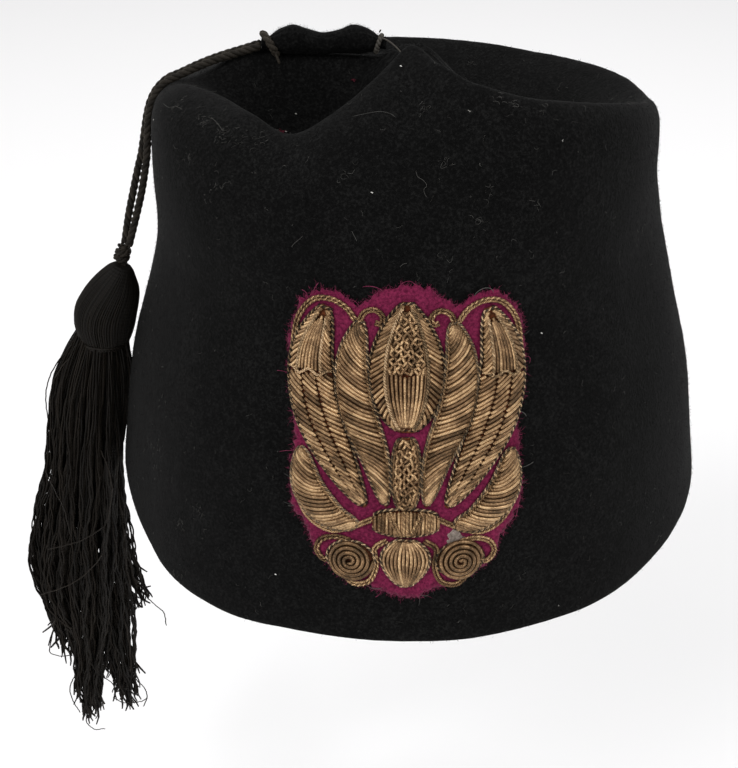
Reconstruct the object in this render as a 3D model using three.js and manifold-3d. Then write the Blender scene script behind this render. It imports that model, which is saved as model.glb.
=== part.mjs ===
// A soft black felt fez: a tapering felt body with a dented crown, a felt roll sewn to the crown's centre,
// a doubled cord that leaves the roll over the left shoulder, a long tassel that hangs from the cord, and
// a raised metal-thread ornament of a bud and leaves on a cloth patch at the front.
// Units are millimetres. +Z is up through the crown, the front faces -Y, and the origin is the centre of
// the opening at the rim, where the hat sits on a head.
import * as THREE from 'three';
import { mergeVertices } from 'three/addons/utils/BufferGeometryUtils.js';
import Module from 'manifold-3d';

const wasm = await Module();
wasm.setup();

// Driving sizes of the felt body
const rimHalfWidth = 92.9;
const rimHalfDepth = 97.3;
const crownHalfWidth = 75.5;
const crownHalfDepth = 81;
const crownHeight = 130;
const feltWall = 2.4;
const rimDrop = 6;
const lipRounding = 0.7;
const wallBulge = 2.2;
const seatRadius = 9;
const seatRise = 1;

// Clearance between pieces that are sewn, tied or pressed together on the real hat
const seam = 0.3;

// Driving sizes of the patch and its ornament
const patchHalfWidth = 32.5;
const patchHalfHeight = 44;
const patchMiddle = 51.5;
const patchAside = -1.6;
const patchCloth = 1.2;
const padRise = 2.4;

// Driving sizes of the roll, the cords and the tassel
const rollLength = 36;
const rollRadius = 3.9;
const rollStart = 6.5;
const cordDiameter = 2.4;
const tieDiameter = 1.3;
const tasselDepth = -7;
const headRadius = 10;
const headLength = 26;
const headTop = 68;
const knotLength = 5.6;
const skirtLength = 155;
const skirtSpread = 9.2;

// The folds of the crown, a row for each azimuth in degrees from the front, positive to the right as seen
// from the front. rim is a share of the rim's oval and drop a share of rimDrop. waist, shoulder, crestAt and
// pitAt are shares of the crown's oval, and shoulderUp, crest and pit are shares of crownHeight. round is 0
// for a straight slope up to the crest and 1 for a rounded shoulder.
const foldColumns = [
  'azimuth', 'rim', 'drop', 'waist', 'shoulder', 'shoulderUp', 'crestAt', 'crest', 'round', 'pitAt', 'pit',
];
const folds = [
  [-170, 1, 1, 0.99, 1, 0.755, 0.945, 0.89, 1, 0.57, 0.8],
  [-140, 1, 0.7, 0.985, 1.005, 0.765, 0.945, 0.895, 1, 0.55, 0.86],
  [-112, 1, 0.2, 0.995, 0.995, 0.775, 0.94, 0.915, 1, 0.58, 0.95],
  [-90, 1, 0.05, 1.007, 1, 0.79, 0.925, 0.94, 1, 0.63, 1.003],
  [-75, 0.99, 0.2, 1.007, 1.01, 0.82, 0.88, 0.985, 0.95, 0.52, 0.85],
  [-60, 0.998, 0.5, 1.01, 1.015, 0.82, 0.81, 0.995, 0.8, 0.49, 0.79],
  [-45, 1.03, 0.9, 1.01, 1, 0.8, 0.8, 0.99, 0.55, 0.48, 0.79],
  [-32, 1.025, 1.1, 1.005, 0.985, 0.78, 0.78, 0.963, 0.45, 0.46, 0.82],
  [-20, 1.005, 1.08, 1, 0.975, 0.79, 0.69, 1.02, 0.35, 0.41, 0.89],
  [-10, 1, 1.03, 1, 0.975, 0.8, 0.61, 1.08, 0.2, 0.36, 0.97],
  [0, 1, 1, 1, 0.975, 0.8, 0.54, 1.125, 0.1, 0.33, 1.06],
  [10, 1, 1, 1, 0.98, 0.82, 0.73, 1.1, 0.25, 0.4, 1],
  [22, 1, 0.97, 1, 0.99, 0.84, 0.86, 1.072, 0.55, 0.45, 0.91],
  [36, 1.01, 0.9, 1, 1, 0.84, 0.905, 1.046, 0.8, 0.48, 0.86],
  [54, 1.012, 0.5, 1.005, 1, 0.83, 0.93, 1.005, 0.95, 0.51, 0.82],
  [72, 1.02, 0.2, 1.028, 0.985, 0.81, 0.935, 0.96, 1, 0.53, 0.8],
  [90, 1.024, 0.05, 1.038, 0.975, 0.785, 0.93, 0.92, 1, 0.55, 0.79],
  [112, 1.015, 0.2, 1.03, 0.99, 0.765, 0.94, 0.906, 1, 0.57, 0.77],
  [145, 1.005, 0.7, 1, 1, 0.755, 0.945, 0.886, 1, 0.58, 0.775],
].map((row) => Object.fromEntries(row.map((value, i) => [foldColumns[i], value])));

const turn = 360;
const radians = Math.PI / 180;
const countTo = (count) => [...Array(count).keys()];
const mix = (a, b, t) => a + (b - a) * t;

// One column of the folds as a smooth closed function of azimuth
function foldAt(column, azimuth) {
  const count = folds.length;
  const first = folds[0].azimuth;
  const wrapped = ((azimuth - first) % turn + turn) % turn + first;
  let row = count - 1;
  while (row > 0 && folds[row].azimuth > wrapped) row -= 1;
  const value = (i) => folds[(i + count) % count][column];
  const where = (i) => folds[(i + count) % count].azimuth + turn * Math.floor(i / count);
  const span = where(row + 1) - where(row);
  const slope = (i) => (value(i + 1) - value(i - 1)) / (where(i + 1) - where(i - 1)) * span;
  const t = (wrapped - where(row)) / span;
  const [t2, t3] = [t * t, t * t * t];
  return (2 * t3 - 3 * t2 + 1) * value(row) + (t3 - 2 * t2 + t) * slope(row)
    + (3 * t2 - 2 * t3) * value(row + 1) + (t3 - t2) * slope(row + 1);
}

function ovalRadius(halfWidth, halfDepth, azimuth) {
  const across = Math.sin(azimuth * radians) / halfWidth;
  const deep = Math.cos(azimuth * radians) / halfDepth;
  return 1 / Math.hypot(across, deep);
}

// The felt's outer profile at one azimuth, as points of (radius, height) from the rim up the wall, over the
// crest and down to the flat seat at the crown's centre. profileSpans are the steps between its controls.
const bulgeUp = 0.28;
const waistUp = 0.62;
const profileSpans = [3, 4, 3, 2, 2, 3, 3, 2];
const wallRings = profileSpans[0] + profileSpans[1] + profileSpans[2];
const seatHeight = crownHeight + seatRise;
function profile(azimuth) {
  const fold = (column) => foldAt(column, azimuth);
  const rim = fold('rim') * ovalRadius(rimHalfWidth, rimHalfDepth, azimuth);
  const top = ovalRadius(crownHalfWidth, crownHalfDepth, azimuth);
  const waist = fold('waist') * top;
  const shoulder = [fold('shoulder') * top, fold('shoulderUp') * crownHeight];
  const crest = [fold('crestAt') * top, fold('crest') * crownHeight];
  const pit = [fold('pitAt') * top, fold('pit') * crownHeight];
  const browIn = mix(0.42, 0.2, fold('round'));
  const browUp = mix(0.52, 0.72, fold('round'));
  const controls = [
    [rim, -fold('drop') * rimDrop],
    [mix(rim, waist, bulgeUp / waistUp) + wallBulge, bulgeUp * crownHeight],
    [waist, waistUp * crownHeight],
    shoulder,
    [mix(shoulder[0], crest[0], browIn), mix(shoulder[1], crest[1], browUp)],
    crest,
    [mix(crest[0], pit[0], 0.35), mix(crest[1], pit[1], 0.3)],
    pit,
    [seatRadius, seatHeight],
  ];
  const curve = new THREE.CatmullRomCurve3(
    controls.map(([radius, z]) => new THREE.Vector3(radius, 0, z)), false, 'centripetal');
  const stations = profileSpans.flatMap((steps, span) => countTo(steps).map((i) => span + i / steps));
  return [...stations, profileSpans.length].map((at) => {
    const point = curve.getPoint(at / profileSpans.length);
    return [point.x, point.z];
  });
}

function onAzimuth(radius, azimuth, z) {
  return new THREE.Vector3(radius * Math.sin(azimuth * radians), -radius * Math.cos(azimuth * radians), z);
}

// Joins rings of points, all of the same count, into one closed shell with a fan at each end
function closedRings(ringList, start, end) {
  const points = [...ringList.flat(), start, end];
  const across = ringList[0].length;
  const last = (ringList.length - 1) * across;
  const [startIndex, endIndex] = [points.length - 2, points.length - 1];
  const triangles = [];
  countTo(across).forEach((i) => {
    const j = (i + 1) % across;
    for (let row = 0; row < last; row += across) {
      triangles.push(row + i, row + j, row + across + j);
      triangles.push(row + i, row + across + j, row + across + i);
    }
    triangles.push(startIndex, j, i);
    triangles.push(last + i, last + j, endIndex);
  });
  const geometry = new THREE.BufferGeometry();
  const numbers = points.flatMap((point) => point.toArray());
  geometry.setAttribute('position', new THREE.Float32BufferAttribute(numbers, 3));
  geometry.setIndex(triangles);
  return geometry;
}

// The felt body: the outer surface and, one wall inside it, the head side, joined by a rounded cut edge
const feltColumns = 60;
function feltBody() {
  const columns = countTo(feltColumns);
  const sections = columns.map((i) => profile(i * turn / feltColumns));
  const rings = sections[0].length;
  const outer = (ring, step) => {
    const column = (step + feltColumns) % feltColumns;
    const [radius, z] = sections[column][Math.min(Math.max(ring, 0), rings - 1)];
    return onAzimuth(radius, column * turn / feltColumns, z);
  };
  const inner = (ring, step) => {
    const along = outer(ring, step + 1).sub(outer(ring, step - 1));
    const up = outer(ring + 1, step).sub(outer(ring - 1, step));
    return outer(ring, step).addScaledVector(along.cross(up).normalize(), -feltWall);
  };
  const outside = countTo(rings).map((ring) => columns.map((step) => outer(ring, step)));
  const inside = countTo(rings).map((ring) => columns.map((step) => inner(ring, step)));
  inside[0].forEach((point, step) => { point.z = outside[0][step].z; });
  const lip = columns.map((step) => {
    const edge = outside[0][step].clone().lerp(inside[0][step], 0.5);
    edge.z -= lipRounding;
    return edge;
  });
  const centre = new THREE.Vector3(0, 0, seatHeight);
  const underCentre = new THREE.Vector3(0, 0, seatHeight - feltWall);
  return closedRings([...inside.reverse(), lip, ...outside], underCentre, centre);
}

// The radius of the wall's outside at an azimuth and a height
function wallRadius(azimuth, z) {
  const points = profile(azimuth);
  let ring = 0;
  while (ring < wallRings && points[ring + 1][1] < z) ring += 1;
  const [low, high] = [points[ring], points[ring + 1]];
  return mix(low[0], high[0], (z - low[1]) / (high[1] - low[1]));
}

// A point on the wall, or off it along its outward normal. across is the arc from the front's middle.
const normalReach = 1;
function wallPoint(across, z, off) {
  const at = (azimuth, height) => onAzimuth(wallRadius(azimuth, height), azimuth, height);
  const azimuth = across / wallRadius(0, z) / radians;
  const side = at(azimuth + normalReach, z).sub(at(azimuth - normalReach, z));
  const rise = at(azimuth, z + normalReach).sub(at(azimuth, z - normalReach));
  return at(azimuth, z).addScaledVector(side.cross(rise).normalize(), off);
}
const onPatch = ([x, y], off) => wallPoint(patchAside + x, patchMiddle + y, off);
const onCloth = ([x, y]) => new THREE.Vector3(x * patchHalfWidth, y * patchHalfHeight, 0);

// The patch's outline, across and up from its centre, as shares of its half width and half height. These
// points are its right half from top to bottom; the left half mirrors them.
const patchOutline = [
  [0, 1], [0.2, 0.97], [0.38, 0.86], [0.56, 0.93], [0.78, 0.91], [0.95, 0.72], [1, 0.42], [0.95, 0.12],
  [0.97, -0.16], [0.98, -0.4], [0.84, -0.58], [0.72, -0.76], [0.5, -0.88], [0.24, -0.94], [0, -1],
];
const patchSteps = 60;
const patchRows = [0.35, 0.65, 0.85, 1];
function clothPatch() {
  const left = patchOutline.slice(1, -1).reverse().map(([x, y]) => [-x, y]);
  const corners = [...patchOutline, ...left];
  const curve = new THREE.CatmullRomCurve3(corners.map(onCloth), true, 'centripetal');
  const outline = curve.getSpacedPoints(patchSteps).slice(0, patchSteps).reverse();
  const ring = (share, off) => outline.map((p) => onPatch([p.x * share, p.y * share], off));
  const under = patchRows.map((share) => ring(share, seam));
  const over = [...patchRows].reverse().map((share) => ring(share, seam + patchCloth));
  return closedRings([...under, ...over], onPatch([0, 0], seam), onPatch([0, 0], seam + patchCloth));
}

// The ornament's raised pads. path runs along each pad, in shares of the patch's half width and half height,
// wide is its half width as a share of the patch's, and widest says where along the path it is widest. Pads
// whose path leaves the middle come in pairs.
const pads = [
  { name: 'bud', path: [[0, 0.1], [0, 0.5], [0, 0.9]], wide: 0.27, widest: 0.42, blunt: 0.7 },
  { name: 'stem', path: [[0, -0.37], [0, -0.14], [0, 0.07]], wide: 0.085, widest: 0.5, blunt: 0.3 },
  { name: 'collar', path: [[-0.27, -0.46], [0, -0.46], [0.27, -0.46]], wide: 0.09, widest: 0.5, blunt: 0.3 },
  { name: 'drop_leaf', path: [[0, -0.57], [0, -0.73], [0, -0.9]], wide: 0.17, widest: 0.42, blunt: 0.7 },
  { name: 'inner_leaf', path: [[0.16, -0.36], [0.25, -0.06], [0.4, 0.24], [0.43, 0.5], [0.36, 0.77]],
    wide: 0.115, widest: 0.55, blunt: 0.65 },
  { name: 'outer_leaf', path: [[0.33, -0.37], [0.53, -0.12], [0.73, 0.2], [0.77, 0.5], [0.64, 0.84]],
    wide: 0.175, widest: 0.55, blunt: 0.65 },
  { name: 'low_leaf', path: [[0.38, -0.49], [0.6, -0.45], [0.8, -0.3], [0.87, -0.04]],
    wide: 0.11, widest: 0.5, blunt: 0.7 },
  { name: 'rosette', path: [[0.45, -0.84], [0.45, -0.72], [0.45, -0.6]],
    wide: 0.17, widest: 0.5, blunt: 0.5 },
];
const padSteps = 9;
const padTip = 0.02;
// A pad's section, across and up as shares of its half width and rise: flat below, domed above
const padSection = [[-1, 0], [-1, 0.3], [-0.72, 0.82], [0, 1], [0.72, 0.82], [1, 0.3], [1, 0], [0, 0]];
const [ridgeIndex, keelIndex] = [3, 7];
function pad({ path, wide, widest, blunt }, side) {
  const curve = new THREE.CatmullRomCurve3(
    path.map(([x, y]) => onCloth([x * side, y])), false, 'centripetal');
  const bend = Math.log(0.5) / Math.log(widest);
  const base = seam + patchCloth + seam;
  const station = (i) => {
    const t = i / padSteps;
    const swell = Math.sin(Math.PI * Math.min(Math.max(t, padTip), 1 - padTip) ** bend) ** blunt;
    const centre = curve.getPointAt(t);
    const along = curve.getTangentAt(t);
    return padSection.map(([across, up]) => {
      const shift = across * swell * wide * patchHalfWidth;
      const off = base + up * padRise * Math.sqrt(swell);
      return onPatch([centre.x + along.y * shift, centre.y - along.x * shift], off);
    });
  };
  const stations = countTo(padSteps + 1).map(station);
  const cap = (ring) => ring[ridgeIndex].clone().lerp(ring[keelIndex], 0.5);
  return closedRings(stations, cap(stations[0]), cap(stations[padSteps]));
}

// A round body swept along points in a plane across Y, with its radius at each of them
function sweep(points, radii, sides) {
  const last = points.length - 1;
  const deep = new THREE.Vector3(0, 1, 0);
  const ringList = points.map((centre, i) => {
    const ahead = points[Math.min(i + 1, last)].clone().sub(points[Math.max(i - 1, 0)]).normalize();
    const wide = deep.clone().cross(ahead).normalize();
    return countTo(sides).map((side) => {
      const angle = side / sides * 2 * Math.PI;
      return centre.clone()
        .addScaledVector(wide, radii[i] * Math.cos(angle))
        .addScaledVector(deep, radii[i] * Math.sin(angle));
    });
  });
  return closedRings(ringList, points[0], points[last]);
}

// The felt roll lies on the crown's centre and points at the left shoulder. It swells into two humps.
const rollHump = 0.15;
const rollSteps = 16;
const rollSides = 12;
const rollBend = (t) => Math.cos(4 * Math.PI * (t - 0.25));
const rollTaper = (t) => Math.sqrt(Math.max(0.35, 1 - (2 * t - 1) ** 6));
function rollPoint(t) {
  const lift = seatHeight + seam + rollRadius * (1 + rollHump);
  return new THREE.Vector3(-rollStart - rollLength * t, 0, lift + rollBend(t) * rollHump * rollRadius);
}
const rollRadiusAt = (t) => rollRadius * rollTaper(t) * (1 + rollHump * rollBend(t));
function crownRoll() {
  const stations = countTo(rollSteps + 1).map((i) => i / rollSteps);
  return sweep(stations.map(rollPoint), stations.map(rollRadiusAt), rollSides);
}

// A tie is a ring of thread round the roll, near one of its ends
const tieSteps = 16;
const tieSides = 6;
const tieInset = 0.06;
function tie(t) {
  const ringRadius = rollRadiusAt(t) + seam + tieDiameter / 2;
  const centre = rollPoint(t);
  const geometry = new THREE.TorusGeometry(ringRadius, tieDiameter / 2, tieSides, tieSteps);
  return geometry.rotateY(Math.PI / 2).translate(centre.x, centre.y, centre.z);
}

// The doubled cord's route, from the roll over the left shoulder to the tassel's knot: a list chosen by hand.
// Each row is (x, y, z) at the middle of the pair and half the distance between the two cords in x and y.
const cordRoute = [
  [-43, 0, 134.7, 0, 1.6], [-47.7, 0, 133.2, 0, 1.5], [-52.7, 0, 131.7, 0, 1.5],
  [-57.7, 0, 130, 0, 1.5], [-62.8, 0, 127.9, 0, 1.5], [-67.1, 0, 125.9, 0, 1.5],
  [-71, 0, 124.1, 0.1, 1.5], [-74.3, -0.3, 120.9, 0.2, 1.5], [-76.3, -0.6, 117.1, 0.3, 1.5],
  [-77.4, -1, 113.2, 0.4, 1.45], [-78, -1.6, 109.3, 0.6, 1.45], [-78.5, -2.2, 105.5, 0.8, 1.4],
  [-79.1, -2.9, 101.6, 1, 1.35], [-80, -3.6, 97.8, 1.2, 1.25], [-81.6, -4.8, 91, 1.35, 1.1],
  [-83.5, -5.8, 83.8, 1.25, 1.1], [-85.9, -6.8, 74.3, 0.8, 1.1],
];
const cordSides = 8;
const cordSteps = 32;
function cord(side) {
  const points = cordRoute.map(([x, y, z, dx, dy]) => new THREE.Vector3(x - side * dx, y + side * dy, z));
  const path = new THREE.CatmullRomCurve3(points, false, 'centripetal');
  const section = new THREE.Shape(countTo(cordSides).map((i) => {
    const angle = (i + 0.5) / cordSides * 2 * Math.PI;
    return new THREE.Vector2(Math.cos(angle), Math.sin(angle)).multiplyScalar(cordDiameter / 2);
  }));
  return new THREE.ExtrudeGeometry(section, { steps: cordSteps, extrudePath: path });
}

// The tassel's knot, head and skirt hang on an axis beside the flaring wall. Its rows are the way down from
// the head's top as a share of the tassel's length, and the axis's distance from the wall, or from the rim
// below it, as a share of headRadius.
const tasselLength = headLength + skirtLength;
const tasselAxis = [
  [-0.05, 0.85], [0, 0.99], [0.03, 1.12], [0.08, 1.13], [0.17, 0.87], [0.23, 0.89], [0.36, 1.05],
  [0.55, 1.43], [0.77, 1.56], [1, 1.43],
];
const axisAzimuth = -86;
const axisCurve = new THREE.CatmullRomCurve3(tasselAxis.map(([down, out]) => {
  const z = headTop - down * tasselLength;
  const left = wallRadius(axisAzimuth, Math.max(z, 0)) + out * headRadius;
  return new THREE.Vector3(-left, tasselDepth, z);
}), false, 'centripetal');
const closeEnough = 1e-5;
function axisAt(z) {
  let [low, high] = [0, 1];
  while (high - low > closeEnough) {
    const middle = (low + high) / 2;
    [low, high] = axisCurve.getPoint(middle).z > z ? [middle, high] : [low, middle];
  }
  return axisCurve.getPoint(low);
}

function solidOf(geometry) {
  const bare = new THREE.BufferGeometry();
  bare.setAttribute('position', geometry.getAttribute('position'));
  bare.setIndex(geometry.index);
  const merged = mergeVertices(bare);
  return new wasm.Manifold(new wasm.Mesh({
    numProp: 3,
    vertProperties: new Float32Array(merged.attributes.position.array),
    triVerts: new Uint32Array(merged.index.array),
  }));
}
function geometryOf(solid) {
  const mesh = solid.getMesh();
  const geometry = new THREE.BufferGeometry();
  geometry.setAttribute('position', new THREE.BufferAttribute(mesh.vertProperties, 3));
  geometry.setIndex(new THREE.BufferAttribute(mesh.triVerts, 1));
  return geometry;
}

// The head's profile: the way down as a share of the head's length and its radius as a share of headRadius
const headProfile = [
  [0, 0.3], [0.04, 0.52], [0.13, 0.76], [0.28, 0.94], [0.48, 1], [0.68, 0.98], [0.84, 0.9], [0.95, 0.8],
  [1, 0.76],
];
// The skirt's locks. Each row is the way down as a share of skirtLength, and the shift right, the shift back
// and the radius as shares of skirtSpread.
const locks = {
  core: [[-0.08, 0, 0, 0.7], [0.1, -0.2, 0, 0.72], [0.3, -0.25, 0.05, 0.75], [0.5, -0.3, 0.05, 0.7],
    [0.66, -0.1, 0, 0.4]],
  left: [[0, -0.3, 0.1, 0.42], [0.1, -0.85, 0.1, 0.65], [0.25, -0.85, 0.1, 0.74], [0.43, -1.25, 0.1, 0.8],
    [0.55, -1.45, 0.1, 0.8], [0.66, -1.4, 0.1, 0.66], [0.76, -1.15, 0.1, 0.36]],
  outer: [[0, -0.35, -0.2, 0.42], [0.1, -0.7, -0.35, 0.6], [0.28, -0.9, -0.4, 0.72], [0.5, -1, -0.4, 0.74],
    [0.7, -0.75, -0.35, 0.58], [0.84, -0.5, -0.3, 0.3]],
  front: [[0, 0, -0.35, 0.42], [0.1, -0.15, -0.5, 0.6], [0.3, -0.1, -0.55, 0.7], [0.55, -0.1, -0.5, 0.72],
    [0.78, -0.2, -0.4, 0.6], [0.93, -0.4, -0.3, 0.42], [1, -0.5, -0.3, 0.22]],
  right: [[0, 0.3, -0.1, 0.38], [0.1, 0.42, 0, 0.5], [0.3, 0.46, 0, 0.52], [0.5, 0.6, 0, 0.62],
    [0.75, 0.75, 0, 0.6], [0.9, 0.85, 0, 0.45], [0.96, 0.85, 0, 0.25]],
  short: [[0, 0.2, 0.4, 0.3], [0.25, 0.2, 0.45, 0.42], [0.42, 0.65, 0.5, 0.5], [0.56, 1.2, 0.5, 0.5],
    [0.65, 1.7, 0.5, 0.4], [0.7, 1.95, 0.5, 0.25]],
  back: [[0, 0, 0.35, 0.42], [0.1, -0.1, 0.5, 0.58], [0.3, -0.1, 0.6, 0.66], [0.55, -0.2, 0.6, 0.7],
    [0.75, -0.3, 0.5, 0.55], [0.88, -0.3, 0.4, 0.3]],
};
const lockSides = 8;
const lockSteps = 9;
function lock(rows) {
  const path = new THREE.CatmullRomCurve3(rows.map(([down, right, back]) => {
    const axis = axisAt(headTop - headLength - down * skirtLength);
    return axis.add(new THREE.Vector3(right * skirtSpread, back * skirtSpread, 0));
  }), false, 'centripetal');
  const stations = countTo(lockSteps + 1).map((i) => i / lockSteps);
  const radii = stations.map((t) => {
    const row = Math.min(Math.floor(t * (rows.length - 1)), rows.length - 2);
    return mix(rows[row][3], rows[row + 1][3], t * (rows.length - 1) - row) * skirtSpread;
  });
  return sweep(stations.map((t) => path.getPoint(t)), radii, lockSides);
}
const headSides = 16;
function tassel() {
  const head = sweep(
    headProfile.map(([down]) => axisAt(headTop - down * headLength)),
    headProfile.map(([, radius]) => radius * headRadius),
    headSides);
  const pieces = [head, ...Object.values(locks).map(lock)].map(solidOf);
  return geometryOf(wasm.Manifold.union(pieces));
}

// The cords end in a small knot just above the head
const knotProfile = [[0, 0.78], [0.2, 0.9], [0.5, 0.95], [0.8, 0.8], [1, 0.5]];
const knotSides = 12;
function tasselKnot() {
  const top = headTop + seam + knotLength;
  return sweep(
    knotProfile.map(([down]) => axisAt(top - down * knotLength)),
    knotProfile.map(([, radius]) => radius * cordDiameter),
    knotSides);
}

const group = new THREE.Group();
const felt = new THREE.MeshStandardMaterial({ color: 0x131315, roughness: 0.95 });
const cloth = new THREE.MeshStandardMaterial({ color: 0x7a1f4d, roughness: 0.9 });
const metalThread = new THREE.MeshStandardMaterial({ color: 0x8c7350, roughness: 0.45, metalness: 0.8 });
const thread = new THREE.MeshStandardMaterial({ color: 0x1c1815, roughness: 0.8 });
function add(name, geometry, material) {
  const mesh = new THREE.Mesh(geometry, material);
  mesh.name = name;
  group.add(mesh);
}

add('crown', feltBody(), felt);
add('patch', clothPatch(), cloth);
pads.forEach((row) => {
  if (row.path[0][0] > 0) {
    add(`${row.name}_right`, pad(row, 1), metalThread);
    add(`${row.name}_left`, pad(row, -1), metalThread);
  } else {
    add(row.name, pad(row, 1), metalThread);
  }
});
add('crown_roll', crownRoll(), felt);
add('tie_centre', tie(tieInset), thread);
add('tie_cord', tie(1 - tieInset), thread);
add('cord_front', cord(-1), thread);
add('cord_back', cord(1), thread);
add('tassel_knot', tasselKnot(), thread);
add('tassel', tassel(), thread);

export default group;
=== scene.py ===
"""A black felt fez with a metal-thread ornament, a rolled felt tab, and a doubled cord with a tassel."""

import math

import bmesh
import bpy
import numpy as np
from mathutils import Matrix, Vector, noise
from mathutils.bvhtree import BVHTree


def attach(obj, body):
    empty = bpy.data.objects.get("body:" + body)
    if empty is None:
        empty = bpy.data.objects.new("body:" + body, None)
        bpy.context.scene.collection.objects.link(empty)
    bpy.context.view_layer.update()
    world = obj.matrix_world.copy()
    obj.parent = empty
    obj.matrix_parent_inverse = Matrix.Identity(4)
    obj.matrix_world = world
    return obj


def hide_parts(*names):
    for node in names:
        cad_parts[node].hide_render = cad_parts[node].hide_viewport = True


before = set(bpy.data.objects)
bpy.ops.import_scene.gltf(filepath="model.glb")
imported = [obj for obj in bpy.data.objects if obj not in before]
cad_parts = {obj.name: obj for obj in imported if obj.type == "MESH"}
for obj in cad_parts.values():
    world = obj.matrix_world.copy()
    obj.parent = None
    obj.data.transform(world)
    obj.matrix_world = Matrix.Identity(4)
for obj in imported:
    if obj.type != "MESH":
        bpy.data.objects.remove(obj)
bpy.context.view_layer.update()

# Lengths are in millimetres until a mesh is made
MM = 0.001
rng = np.random.default_rng(11)


def linked(name, data):
    """An object of its own in the scene."""
    made = bpy.data.objects.new(name, data)
    bpy.context.scene.collection.objects.link(made)
    return made


def aim(piece, place_at, direction):
    """Puts a camera or a light somewhere, looking along direction."""
    piece.location = place_at
    piece.rotation_mode = "QUATERNION"
    piece.rotation_quaternion = direction.to_track_quat("-Z", "Y")


AIM = Vector((-0.0115, 0.0, 0.0216))
CAMERA_DISTANCE = 0.480
CAMERA_ELEVATION = math.radians(29)
PHOTO_WIDTH = 738
PHOTO_HEIGHT = 768

camera_data = bpy.data.cameras.new("camera")
camera_data.lens = 68.45
camera_data.sensor_width = 36
camera_data.clip_start = 0.01
camera_data.clip_end = 20
camera = linked("camera", camera_data)
away = Vector((0, -math.cos(CAMERA_ELEVATION), math.sin(CAMERA_ELEVATION)))
aim(camera, AIM + away * CAMERA_DISTANCE, -away)
bpy.context.scene.camera = camera


SPAN_POINTS = 24


def catmull(points, per_span=SPAN_POINTS):
    """Points on the centripetal Catmull-Rom curve through points."""
    points = np.asarray(points, float)
    knots = np.vstack([2 * points[0] - points[1], points, 2 * points[-1] - points[-2]])
    share = np.linspace(0, 1, per_span, endpoint=False)[:, None]
    t2, t3 = share**2, share**3
    weights = (2 * t3 - 3 * t2 + 1, t3 - 2 * t2 + share, 3 * t2 - 2 * t3, t3 - t2)
    made = []
    for i in range(len(points) - 1):
        p0, p1, p2, p3 = knots[i : i + 4]
        steps = np.linalg.norm(np.diff(knots[i : i + 4], axis=0), axis=1)
        d0, d1, d2 = np.maximum(steps**0.5, 1e-6)
        m1 = ((p1 - p0) / d0 - (p2 - p0) / (d0 + d1) + (p2 - p1) / d1) * d1
        m2 = ((p2 - p1) / d1 - (p3 - p1) / (d1 + d2) + (p3 - p2) / d2) * d1
        made.append(sum(weight * part for weight, part in zip(weights, (p1, m1, p2, m2))))
    return np.vstack([*made, points[-1:]])


def even(points, count):
    """count points along a polyline, evenly spaced."""
    points = np.asarray(points, float)
    along = lengths(points)
    at = np.linspace(0, along[-1], count)
    return np.stack([np.interp(at, along, points[:, i]) for i in range(points.shape[1])], axis=1)


def lengths(points):
    """The length from a polyline's start to each of its points."""
    steps = np.linalg.norm(np.diff(points, axis=0), axis=1)
    return np.concatenate([[0], np.cumsum(steps)])


def unit(vectors):
    size = np.linalg.norm(vectors, axis=-1, keepdims=True)
    return vectors / np.maximum(size, 1e-9)


def frames(paths, ref):
    """The tangent and two directions across it at each point of each path, kept level with ref."""
    tangent = unit(np.gradient(paths, axis=-2))
    ref = np.broadcast_to(ref, paths.shape)
    side = unit(np.cross(tangent, ref) + 1e-7)
    return tangent, side, np.cross(side, tangent)


def twist(path, ref, strands, reach, pitch, turn=0.0):
    """strands helical paths round one path, reach from it, with one turn per pitch."""
    _, side, up = frames(path, ref)
    starts = np.arange(strands)[:, None] / strands
    angle = (math.tau * (lengths(path) / pitch + starts) + turn)[..., None]
    return path + reach * (side * np.cos(angle) + up * np.sin(angle))


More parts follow.
